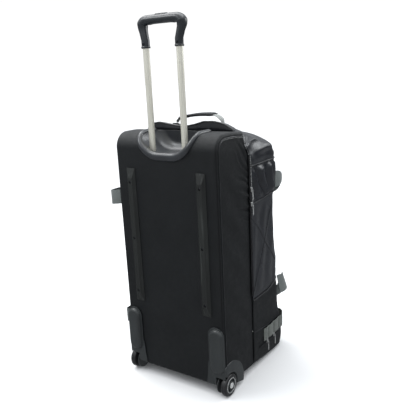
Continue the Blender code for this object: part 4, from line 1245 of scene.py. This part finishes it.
def make_hub(side, word):
    """A dished hub with six spokes and a bright ring at its edge."""
    face, body = WHEEL_FACE, "wheel_" + word
    profile = [
        (0.1655, 0.0238), (face - 0.0020, 0.0238), (face - 0.0008, 0.0234), (face - 0.0004, 0.0226),
        (face - 0.0008, 0.0206), (face - 0.0022, 0.0197), (face - 0.0052, 0.0190), (face - 0.0056, 0.0125),
        (face - 0.0016, 0.0117), (face - 0.0006, 0.0110), (face - 0.0006, 0.0052), (0.1655, 0.0052),
    ]
    hub_parts = [loft(lathe(profile, AXLE, side, 72), closed=True)]
    for k in range(6):
        turn = math.radians(60 * k + 12)
        radial = np.array((0, math.cos(turn), math.sin(turn)))
        path = [(side * (face - 0.0040), *AXLE) + radial * r for r in (0.0106, 0.0155, 0.0202)]
        hub_parts.append(sweep(path, rounded_rect(0.0024, 0.0020, 0.0008, 3), (side, 0, 0)))
    make("hub_" + word, joined(*hub_parts), MOULDING, body, ("wheel_hub_" + word,), 35)
    ring = [(face - 0.0010, 0.0232), (face + 0.0003, 0.0230), (face + 0.0004, 0.0220),
            (face - 0.0008, 0.0217)]
    make("hub_ring_" + word, loft(lathe(ring, AXLE, side, 72), closed=True), CAP_METAL, body,
         smooth_deg=60)


def make_axle_cap(side, word):
    """The fixed axle, with a domed silver cap on its outer end."""
    face = WHEEL_FACE
    profile = [
        (0.1455, 0.0066), (0.1460, 0.0070), (0.1490, 0.0070), (0.1494, 0.0040), (face + 0.0002, 0.0040),
        (face + 0.0003, 0.0086), (face + 0.0012, 0.0090), (face + 0.0021, 0.0086), (face + 0.0027, 0.0072),
        (face + 0.0020, 0.0058), (face + 0.0019, 0.0034), (face + 0.0024, 0.0022), (face + 0.0026, 0.0006),
    ]
    make("axle_cap_" + word, loft(lathe(profile, AXLE, side, 40)), CAP_METAL, "bag",
         ("axle_" + word,), 50)


def make_corners():
    """Kick plate, wheel housing and wheel at both lower corners of the back."""
    for side, word in SIDES:
        make_kick_plate(side, word)
        make_housing(side, word)
        make_tyre(side, word)
        make_hub(side, word)
        make_axle_cap(side, word)


# ---- straps ----
def band_mesh(path, levels, outs, half, thickness=0.0018, share=1.0, tilt=0.0):
    """Upright webbing along a plan path at given heights. share is the part of its width that shows,
    and tilt swings its lower edge outwards."""
    section = rounded_rect(thickness / 2, half, thickness * 0.4, 2)
    share, tilt = np.broadcast_to(share, (len(path),)), np.broadcast_to(tilt, (len(path),))
    rings = []
    for (x, y), level, out, part, turn in zip(path, levels, outs, share, tilt):
        facing = np.array((out[0], out[1], 0.0))
        upright = np.array((0, 0, math.cos(turn))) - facing * math.sin(turn)
        across = facing * math.cos(turn) + np.array((0, 0, math.sin(turn)))
        middle = np.array((x, y, level)) + facing * thickness / 2
        rings.append([middle + across * u + upright * v * part for u, v in section])
    return loft(np.array(rings))


def plan_normals(path, towards):
    """Normals in plan of a path, on the side that towards says: 1 for its right."""
    along = unit(np.gradient(np.asarray(path, float), axis=0))
    return np.column_stack([along[:, 1], -along[:, 0]]) * towards


BOW_BACK = [(-0.1772, 0.0060), (-0.1930, 0.0030), (-0.2085, 0.0065), (-0.2140, 0.0230),
            (-0.2090, 0.0500), (-0.1940, 0.0850), (-0.1830, 0.1150), (-0.1812, 0.1400)]
FOLD_WAY = (0.90, 0.435)  # the way in plan in which the front loop stands out furthest, at its fold
STRAPS = (  # slack stretches the loop at the back; the rest shapes the one at the front right
    {"name": "strap_upper", "level": STRAP_UPPER_Z, "front": 0.3715, "reach": 0.046, "slack": 1.20,
     "drop": 0.024, "rise": 0.014, "pinch": 0.88, "spread": 0.10, "lean": 0.0,
     "nodes": ("strap_upper_side", "strap_upper_front")},
    {"name": "strap_lower", "level": STRAP_LOWER_Z, "front": 0.3885, "reach": 0.041, "slack": 0.50,
     "drop": 0.024, "rise": 0.040, "pinch": 0.0, "spread": 0.30, "lean": 26.0,
     "nodes": ("strap_lower",)},
)


def bow_front(front, reach):
    """Plan of the slack loop that stands off the front's right corner."""
    return [(0.045, front + 0.0012), (0.080, front + 0.010), (0.115, front + reach * 0.70),
            (0.142, front + reach), (0.165, front + reach * 0.80), (0.1785, front + reach * 0.30),
            (0.1810, front - 0.004), (0.1745, front - 0.0265)]


def front_corner(front, lift, start):
    """Round the left front corner, a little off the fabric."""
    radius = CORNER_R + lift
    centre = (-0.179 + CORNER_R, front - CORNER_R)
    return [(-0.179 - lift, start)] + [tuple(p) for p in arc(centre, radius, 180, 90, 14)]


def make_strap(name, level, front, reach, slack, drop, rise, pinch, spread, lean, nodes):
    """A slack webbing strap round the left side and the front, sewn down at the back left."""
    side = smooth_curve([(-0.1772 + (x + 0.1772) * slack, y) for x, y in BOW_BACK], 8)
    path = np.vstack([side, front_corner(front, 0.0016, 0.190), smooth_curve(bow_front(front, reach), 8)])
    path = resample(path, 190)
    steps = np.linalg.norm(np.diff(path, axis=0), axis=1)
    left = np.concatenate([np.cumsum(steps[::-1])[::-1], [0.0]])
    in_bow = ease((0.195 - left) / 0.080)
    to_end = ease((0.108 - left) / 0.060)
    fold = np.exp(-(((left - left[np.argmax(path @ FOLD_WAY)]) / 0.023) ** 2))
    levels = level - drop * in_bow + (rise + drop) * to_end + 0.0016 * np.sin(np.linspace(0, 9, len(path)))
    levels += np.where(path[:, 1] < 0.06, (path[:, 0] + 0.180) * 0.16, 0.0)
    share = 1 - pinch * fold + spread * to_end + 0.12 * in_bow * (1 - fold)
    tilt = math.radians(lean) * in_bow * (1 - 0.4 * to_end)
    web = band_mesh(path, levels, plan_normals(path, -1), WEB_WIDTH / 2, share=share, tilt=tilt)
    strap = make(name + "_web", web, WEBBING, None, nodes, 60)
    if name == "strap_upper":
        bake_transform(strap)
    else:
        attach(strap, "bag")
    edge = WEB_WIDTH / 2 - 0.004
    tacks = [[(-0.1832, y, z) for z in np.linspace(level - edge, level + edge, 10)] for y in (0.120, 0.136)]
    make(name + "_tack_side", joined(*[stitch_row(line, (-1, 0, 0)) for line in tacks]), PALE_THREAD_AND_GLINT, "bag")


def make_foot_band():
    """Webbing round the foot of the front, tacked down at even steps with a small swell between."""
    half = WEB_WIDTH / 2
    left = front_corner(0.4085, 0.0010, 0.240)
    right = [(-x, y) for x, y in reversed(left)]
    path = resample(np.array(left + right), 230)
    outs = plan_normals(path, -1)
    run = run_along(path)
    tacks = np.arange(0.028, run[-1] - 0.02, 0.0375)
    distance = np.min(np.abs(run[:, None] - tacks[None, :]), axis=1)
    lift = 0.0026 * ease(distance / 0.010) * ease((run[-1] - run) / 0.02) * ease(run / 0.02)
    web = band_mesh(path + outs * lift[:, None], np.full(len(path), BAND_Z), outs, half)
    band = make("foot_band", web, BAND_WEBBING, "bag", ("webbing_band",), 60)
    rows = []
    for tack in tacks:
        at, out = read_at(tack, run, path), read_at(tack, run, outs)
        x, y = at + out * 0.0022
        line = [(x, y, z) for z in np.linspace(BAND_Z - half + 0.003, BAND_Z + half - 0.003, 12)]
        rows.append(stitch_row(line, (out[0], out[1], 0), 0.0032, 0.0006))
    make("foot_band_tacks", joined(*rows), DARK_THREAD, "bag")


def make_haul_handle():
    """The carrying handle: webbing sewn to the lid, with a wrapped and stitched pad."""
    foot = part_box("haul_webbing")[0].z
    guide = [(-0.0840, foot), (-0.0800, foot + 0.0080), (-0.0600, foot + 0.0165), (-0.010, foot + 0.0245),
             (0.0380, foot + 0.0262), (0.0610, foot + 0.0235), (0.0780, foot + 0.0125), (0.0845, foot)]
    path = resample(smooth_curve(guide, 10), 96)
    line = np.insert(path, 1, HAUL_Y, axis=1)
    along = unit(np.gradient(line, axis=0))
    outs = np.cross(along, (0, 1, 0)) * -1
    outs = np.where(outs[:, 2:] < 0, -outs, outs)
    wide = 0.0060 + 0.0065 * ease((path[:, 1] - foot) / 0.014)
    rings = [
        [point + np.array((0, v, 0)) * reach / 0.0125 + out * u
         for u, v in rounded_rect(0.0010, 0.0125, 0.0008, 2)]
        for point, out, reach in zip(line, outs, wide)
    ]
    web = make("haul_web", loft(rings), PALE_WEBBING, "haul_handle", ("haul_webbing",), 60)
    keep = np.abs(path[:, 0] + 0.007) < 0.063
    middle, out = line[keep], outs[keep]
    steps = np.arange(len(middle))
    swell = 0.72 + 0.28 * ease(np.minimum(steps, steps[::-1]) / 5.0)
    rings = []
    for point, away, size in zip(middle, out, swell):
        ring = []
        for u, v in rounded_rect(0.0046, 0.0180, 0.0043, 5):
            crease = 1 - 0.10 * math.exp(-((abs(v) - 0.0150) / 0.0012) ** 2) * (u > 0)
            ring.append(point + away * u * size * crease + np.array((0, v * (0.86 + 0.14 * size), 0)))
        rings.append(ring)
    pad = make("haul_pad", loft(rings), BALLISTIC, "haul_handle", ("haul_grip",), 60)
    for number, offset in enumerate((-0.0148, 0.0148), 1):
        stitched = middle[2:-2] + out[2:-2] * 0.0045 + (0, offset, 0)
        make(f"haul_pad_stitches_{number}", stitch_row(stitched, out[2:-2]), DARK_THREAD, "haul_handle")


def make_haul_anchors():
    """Sewn patches that hold the carrying handle's ends, with a cross-stitched box."""
    for side, word in SIDES:
        low, high = node_box("haul_anchor_" + word)
        slope = (low[2] - high[2]) / (high[1] - low[1])

        def lifted(x, y, off):
            """A point at x and y, that far above the anchor's sloping face."""
            return x, y, high[2] + slope * (y - low[1]) + off

        ys = np.linspace(low[1], high[1], 8)
        rings = [[lifted(x, y, 0.0012) for y in ys] + [lifted(x, y, -0.0006) for y in ys[::-1]]
                 for x in np.linspace(low[0], high[0], 8)]
        patch = make("haul_patch_" + word, loft(rings), WEBBING, "lid", ("haul_anchor_" + word,),
                     50)
        bevel(patch, 0.0005)
        inset = 0.0022
        near, far = low[:2] + inset, high[:2] - inset
        corners = np.array([near, (far[0], near[1]), far, (near[0], far[1]), near, far])
        line = []
        for start, end in zip(corners, corners[1:]):
            line += [lifted(*(start * (1 - t) + end * t), 0.0014) for t in np.linspace(0, 1, 12)]
        make("haul_patch_stitches_" + word, stitch_row(line, (0, -slope, 1)), PALE_THREAD_AND_GLINT, "lid")


# ---- zippers ----
ZIP_X = 0.1792  # the main zipper's own plane on the right side
SLIDERS = ("main_upper", "main_lower", "pocket_rear", "pocket_front")


def teeth(path, outs, pitch=0.0026, reach=0.0022, high=0.0010):
    """Interlocked coil teeth along a seam."""
    count = int(run_along(path)[-1] / pitch)
    points = resample(path, count)
    normals = unit(resample(outs, count))
    along = unit(np.gradient(points, axis=0))
    parts = []
    for k in range(count):
        across = np.cross(along[k], normals[k])
        shift = reach * 0.25 * (1 if k % 2 else -1)
        tooth = np.array([points[k] + across * (shift - reach / 2 * s) for s in (-1, 0, 1)])
        parts.append(sweep(tooth, ellipse(high, pitch * 0.36, 6), normals[k], scales=(0.75, 1.0, 0.75)))
    return joined(*parts)


def tape_mesh(path, outs, half, thick=0.0006):
    """A flat strip of zipper tape along a path."""
    return sweep(path, rounded_rect(thick, half, thick * 0.9, 2), outs)


def make_zippers(skin):
    """Main zipper: coil and tapes down the right side; it goes on over the top under the ridge."""
    path = np.array([(ZIP_X, float(seam_y(z)), z) for z in np.linspace(0.262, 0.700, 120)])
    outs = np.tile((1.0, 0.0, 0.0), (len(path), 1))
    for word, body, away in (("tub", "bag", -0.0034), ("lid", "lid", 0.0034)):
        make("main_tape_" + word, tape_mesh(path + (-0.0006, away, 0), outs, 0.0030), TAPE, body,
             ("zipper_tape_" + word,))
    make("main_coil", teeth(path + (0.0002, 0, 0), outs), DARK_STEEL, "bag")
    cells = [skin.on_side(float(seam_y(z)) + 0.0045 + 0.0070 * float(ease((0.63 - z) / 0.09)), z, 1)
             for z in np.linspace(0.534, 0.705, 60)]
    make("lid_coil", teeth(*skin.line(cells, 0.0012), 0.0040, 0.0019), DULL_METAL, "lid")
    shoulder = np.array([(ZIP_X - 0.010 * float(ease((z - 0.70) / 0.07)), float(seam_y(z)) - 0.0020, z)
                         for z in np.linspace(0.704, 0.768, 30)])
    across = np.column_stack([np.linspace(0.150, -0.150, 120), np.full(120, RIDGE_Y + 0.0002),
                              np.full(120, 0.7752)])
    make("top_coil", teeth(across, np.tile((0, -1.0, 0.3), (120, 1))), DARK_STEEL, "lid")
    make("shoulder_coil", teeth(shoulder, np.tile((1.0, -0.1, 0.3), (30, 1))), STEEL, "bag")


def node_box(name):
    """A CAD node's box, low and high, in the bag's own frame."""
    return (np.array(v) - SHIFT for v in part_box(name))


def make_runner(name):
    """A zipper slider's body with the bridge that its pull hangs from."""
    low, high = node_box(name + "_slider")
    centre = (low + high) / 2
    plan = np.array([(-0.0045, 0.0060), (0.0045, 0.0060), (0.0036, 0.0), (0.0042, -0.0060),
                     (-0.0042, -0.0060), (-0.0036, 0.0)])
    base = stack(0, [(low[0] + rise, centre[1:] + plan * scale)
                     for rise, scale in ((0.0, 0.92), (0.0006, 1.0), (0.0018, 1.0), (0.0024, 0.9))])
    bridge_path = smooth_curve([(low[0] + 0.0020, centre[1], centre[2] + 0.0042),
                                (high[0] - 0.0006, centre[1], centre[2] + 0.0030),
                                (high[0] - 0.0004, centre[1], centre[2] - 0.0024),
                                (low[0] + 0.0020, centre[1], centre[2] - 0.0040)], 6)
    bridge = sweep(bridge_path, rounded_rect(0.0006, 0.0012, 0.0004, 2), (0, 1, 0))
    runner = make(name + "_runner", joined(loft(base), bridge), DULL_METAL, name + "_slider_body",
                  (name + "_slider",), 35)
    bevel(runner, 0.0003)


def make_tab(name):
    """A slider's pull: a long ring with a ribbed tab that tapers at both ends."""
    low, high = node_box(name + "_pull")
    x, y = (low[0] + high[0]) / 2, (low[1] + high[1]) / 2
    ring_low = high[2] - 0.0145
    turns = np.linspace(0, 2 * math.pi, 33)[:-1]
    middle = (high[2] + ring_low) / 2
    loop = [(x, y + 0.0026 * math.cos(t), middle + 0.0022 * np.sign(math.sin(t)) + 0.0045 * math.sin(t))
            for t in turns]
    ring = sweep(loop, ellipse(0.0008, 0.0008, 8), (1, 0, 0), closed=True)
    layers = []
    levels = np.linspace(ring_low + 0.0030, low[2], 26)
    for k, z in enumerate(levels):
        rib = 0.0003 * (k % 4 < 2) if 4 < k < 22 else 0.0
        taper = min(1.0, 0.55 + 0.12 * min(k, len(levels) - 1 - k))
        layers.append((z, rounded_rect(0.0008 + rib, 0.0024, 0.0008, 3) * taper + (x, y)))
    make(name + "_tab", joined(ring, loft(stack(2, layers))), DULL_METAL, name + "_pull_body",
         (name + "_pull",), 50)


def make_pocket_zip(skin):
    """The zipped pocket along the foot of the right side, with its coil."""
    cells = [skin.on_side(y, 0.0665, 1) for y in np.linspace(0.215, 0.345, 50)]
    make("pocket_tape", tape_mesh(*skin.line(cells, 0.0006), 0.0045), BALLISTIC, "bag")
    make("pocket_coil", teeth(*skin.line(cells, 0.0014)), DARK_STEEL, "bag")


# ---- the inside ----
def make_inside():
    """The lining of the back part: a padded panel over the frame and two compression straps."""
    half, foot, top = 0.163, 0.098, 0.698
    grid = np.zeros((80, 45, 3))
    grid[:, :, 0] = np.linspace(-half, half, 45)[None, :]
    grid[:, :, 2] = np.linspace(foot, top, 80)[:, None]
    across = np.abs(np.sin(math.pi * (grid[:, :, 0] + half) / 0.1087))
    up = np.abs(np.sin(math.pi * (grid[:, :, 2] - foot) / 0.120))
    grid[:, :, 1] = 0.0420 + 0.0040 * (across * up) ** 0.45 + 0.0006 * wander(grid, 20.0, 6.0)
    faces = grid_faces(*grid.shape[:2], flip=True)
    panel = make("inner_panel", (grid.reshape(-1, 3), faces), LINING, "bag",
                 solid=False, smooth_deg=60)
    thicken(panel, 0.0010)
    cut_panel(grid)
    for level, word in ((0.250, "lower"), (0.545, "upper")):
        xs = np.linspace(-0.160, 0.160, 60)
        path = np.column_stack([xs, 0.0480 + 0.0030 * np.cos(xs / 0.16 * math.pi / 2)])
        strap = band_mesh(path, np.full(len(xs), level), plan_normals(path, -1), 0.0125)
        packing = make("packing_strap_" + word, strap, DARK_WEBBING, "bag")
        buckle = stack(1, [
            (y, rounded_rect(0.0240 - shrink, 0.0165 - shrink, 0.005, 4) + (0.0, level))
            for y, shrink in ((0.0500, 0.0015), (0.0512, 0.0), (0.0552, 0.0), (0.0564, 0.0018))
        ])
        make("packing_buckle_" + word, loft(buckle), GRIP, "bag")


# ---- CAD parts that stay, with finished materials ----
def finish_cad_nodes():
    """Hidden hard parts keep their CAD mesh. Those with edges that show get a rounded copy instead."""
    kept = {
        "floor_panel": MOULDING, "frame_sheet": BOARD, "sleeve_bracket": MOULDING,
        "grip_screw_left": DARK_STEEL, "grip_screw_right": DARK_STEEL,
        "release_rod_left": STEEL, "release_rod_right": STEEL,
    }
    for word in ("left", "right"):
        for number in (1, 2, 3):
            kept[f"rail_screw_{word}_{number}"] = DARK_STEEL
    for name, material in kept.items():
        for place in NODES[name].material_slots:
            place.material = material
    for name, width, body, slot, material in (
        ("skid_rail_left", 0.0010, "bag", "moulding", RAIL),
        ("skid_rail_right", 0.0010, "bag", "moulding", RAIL),
        ("release_button", 0.0007, "release", "grip_plastic", GRIP),
        ("front_foot_left", 0.0006, "bag", "moulding", MOULDING),
        ("front_foot_right", 0.0006, "bag", "moulding", MOULDING),
    ):
        mesh = NODES[name].data
        verts = np.array([v.co for v in mesh.vertices]) - SHIFT
        faces = [tuple(polygon.vertices) for polygon in mesh.polygons]
        eased = make(name + "_eased", (verts, faces), material, body, (name,), 35)
        bevel(eased, width, 3, 35)


# ---- stage ----
SOFTBOXES = (  # name, place, what it looks at, width, depth, watts
    ("key_softbox", (-0.9, -1.15, 1.85), (0, -0.1, 0.75), 0.7, 0.7, 13),
    ("top_softbox", (0.1, 0.05, 2.2), (0, 0, 0.6), 1.1, 1.1, 15),
    ("side_softbox", (1.15, 1.30, 1.45), (0.15, 0.10, 0.60), 1.0, 0.6, 10),
)
LAMP_COLOUR = (0.96, 0.985, 1.0)
SUN_PLACE, SUN_STRENGTH, SUN_SPREAD = (-1.2, 0.15, 1.9), 1.7, math.radians(36)
BACKDROP_STRENGTH = 1.05
SHADED_WAY = (0.42, 0.91, 0.0)  # the side of the room that is a little darker
FLOOR_REACH = 30.0
FLAG_ENDS, FLAG_LEVELS = ((0.72, 2.28), (1.95, 0.95)), (0.25, 0.85)


def link(name, data):
    """A new object in the scene that shows the data."""
    made = bpy.data.objects.new(name, data)
    bpy.context.scene.collection.objects.link(made)
    return made


def stage_sheet(name, corners, material, dark, light, scale):
    """A flat piece of the studio with a faintly uneven tone."""
    mesh = bpy.data.meshes.new(name)
    mesh.from_pydata(corners, [], [(0, 1, 2, 3)])
    tree = material.node_tree
    finish_shader(material, ramp(tree, blotch(tree, scale), 0.3, 0.7, dark, light))
    mesh.materials.append(material)
    sheet = link(name, mesh)
    return sheet


def aim(lamp, place, target):
    """Turns a lamp at a place towards its target."""
    lamp.rotation_euler = (Vector(target) - Vector(place)).to_track_quat("-Z", "Y").to_euler()


def make_floor_and_flag():
    """The pale floor, hidden from glossy rays, and a dark flag that only reflections see."""
    reach = FLOOR_REACH
    corners = [(-reach, -reach, 0), (reach, -reach, 0), (reach, reach, 0), (-reach, reach, 0)]
    pale = new_material("studio_floor", (0.75, 0.75, 0.75), 0.9, Specular_IOR_Level=0.1)
    floor = stage_sheet("studio_floor", corners, pale, (0.745, 0.745, 0.745), (0.760, 0.760, 0.760), 3.0)
    floor.visible_glossy = False
    low, high = FLAG_LEVELS
    near, far = FLAG_ENDS
    corners = [(*near, low), (*far, low), (*far, high), (*near, high)]
    dark = new_material("flag_cloth", (0.02, 0.02, 0.02), 0.95)
    flag = stage_sheet("dark_flag", corners, dark, (0.015, 0.015, 0.015), (0.025, 0.025, 0.025), 20.0)
    flag.visible_camera = flag.visible_diffuse = flag.visible_shadow = False


def make_world():
    """White to the camera. Light and reflections come from a sky that is brighter overhead."""
    world = bpy.data.worlds.new("studio")
    world.use_nodes = True
    tree = world.node_tree
    heading = add_node(tree, "TexCoord").outputs["Generated"]
    height = add_node(tree, "SeparateXYZ", {0: heading}).outputs[2]
    overhead = ramp(tree, height, -0.22, 0.70, (0.31, 0.32, 0.335), (1.35, 1.39, 1.44))
    towards = add_node(tree, "VectorMath", {0: heading, 1: SHADED_WAY}, operation="DOT_PRODUCT").outputs[1]
    strength = span(tree, towards, 0.45, 0.85, 1.0, 0.90)
    light = add_node(tree, "Background", {"Color": overhead, "Strength": strength}).outputs[0]
    white = add_node(tree, "Background", {"Color": (1, 1, 1, 1), "Strength": BACKDROP_STRENGTH}).outputs[0]
    seen = add_node(tree, "LightPath").outputs["Is Camera Ray"]
    both = add_node(tree, "MixShader", {0: seen, 1: light, 2: white}).outputs[0]
    tree.links.new(both, tree.nodes["World Output"].inputs["Surface"])
    bpy.context.scene.world = world


def make_lights():
    """Three softboxes and a soft sun."""
    for name, place, target, width, depth, power in SOFTBOXES:
        data = bpy.data.lights.new(name, "AREA")
        data.shape = "RECTANGLE"
        data.size, data.size_y, data.energy = width, depth, power
        data.color = LAMP_COLOUR
        lamp = link(name, data)
        lamp.location = place
        aim(lamp, place, target)
    sun = bpy.data.lights.new("soft_sun", "SUN")
    sun.energy, sun.angle = SUN_STRENGTH, SUN_SPREAD
    aim(link("soft_sun", sun), SUN_PLACE, (0, 0, 0))


CAMERA_PLACE = (0.93, -1.175, 0.951)  # in the bag's own frame
CAMERA_TURN = (33.84, 14.57, -2.6)  # degrees to the left of straight ahead, down, and rolled
CAMERA_LENS, CAMERA_SENSOR = 46.6, 36.0


def make_camera():
    """The photograph's viewing angle: behind the bag and to its right, looking a little down."""
    yaw, pitch, roll = (math.radians(turn) for turn in CAMERA_TURN)
    ahead = Vector((-math.sin(yaw) * math.cos(pitch), math.cos(yaw) * math.cos(pitch), -math.sin(pitch)))
    right = ahead.cross(Vector((0, 0, 1))).normalized()
    up = right.cross(ahead)
    level_right = math.cos(roll) * right + math.sin(roll) * up
    level_up = -math.sin(roll) * right + math.cos(roll) * up
    turn = Matrix((level_right, level_up, -ahead)).transposed()
    data = bpy.data.cameras.new("camera")
    data.lens, data.sensor_width = CAMERA_LENS, CAMERA_SENSOR
    camera = link("camera", data)
    camera.matrix_world = Matrix.Translation(Vector(SHIFT) + Vector(CAMERA_PLACE)) @ turn.to_4x4()
    bpy.context.scene.camera = camera
    bpy.context.scene.view_settings.view_transform = "Standard"


make_camera()
make_floor_and_flag()
make_world()
make_lights()
make_back_skin()
make_gussets()
make_piping()
lid = make_lid()
make_lid_trim(lid)
make_ridge_piping(lid)
bucket = make_bucket()
make_cup()
make_cup_rim()
make_tubes()
make_grip()
make_corners()
for strap_says in STRAPS:
    make_strap(**strap_says)
make_foot_band()
make_haul_handle()
make_haul_anchors()
make_zippers(lid)
for slider_name in SLIDERS:
    make_runner(slider_name)
    make_tab(slider_name)
make_pocket_zip(bucket)
make_inside()
finish_cad_nodes()
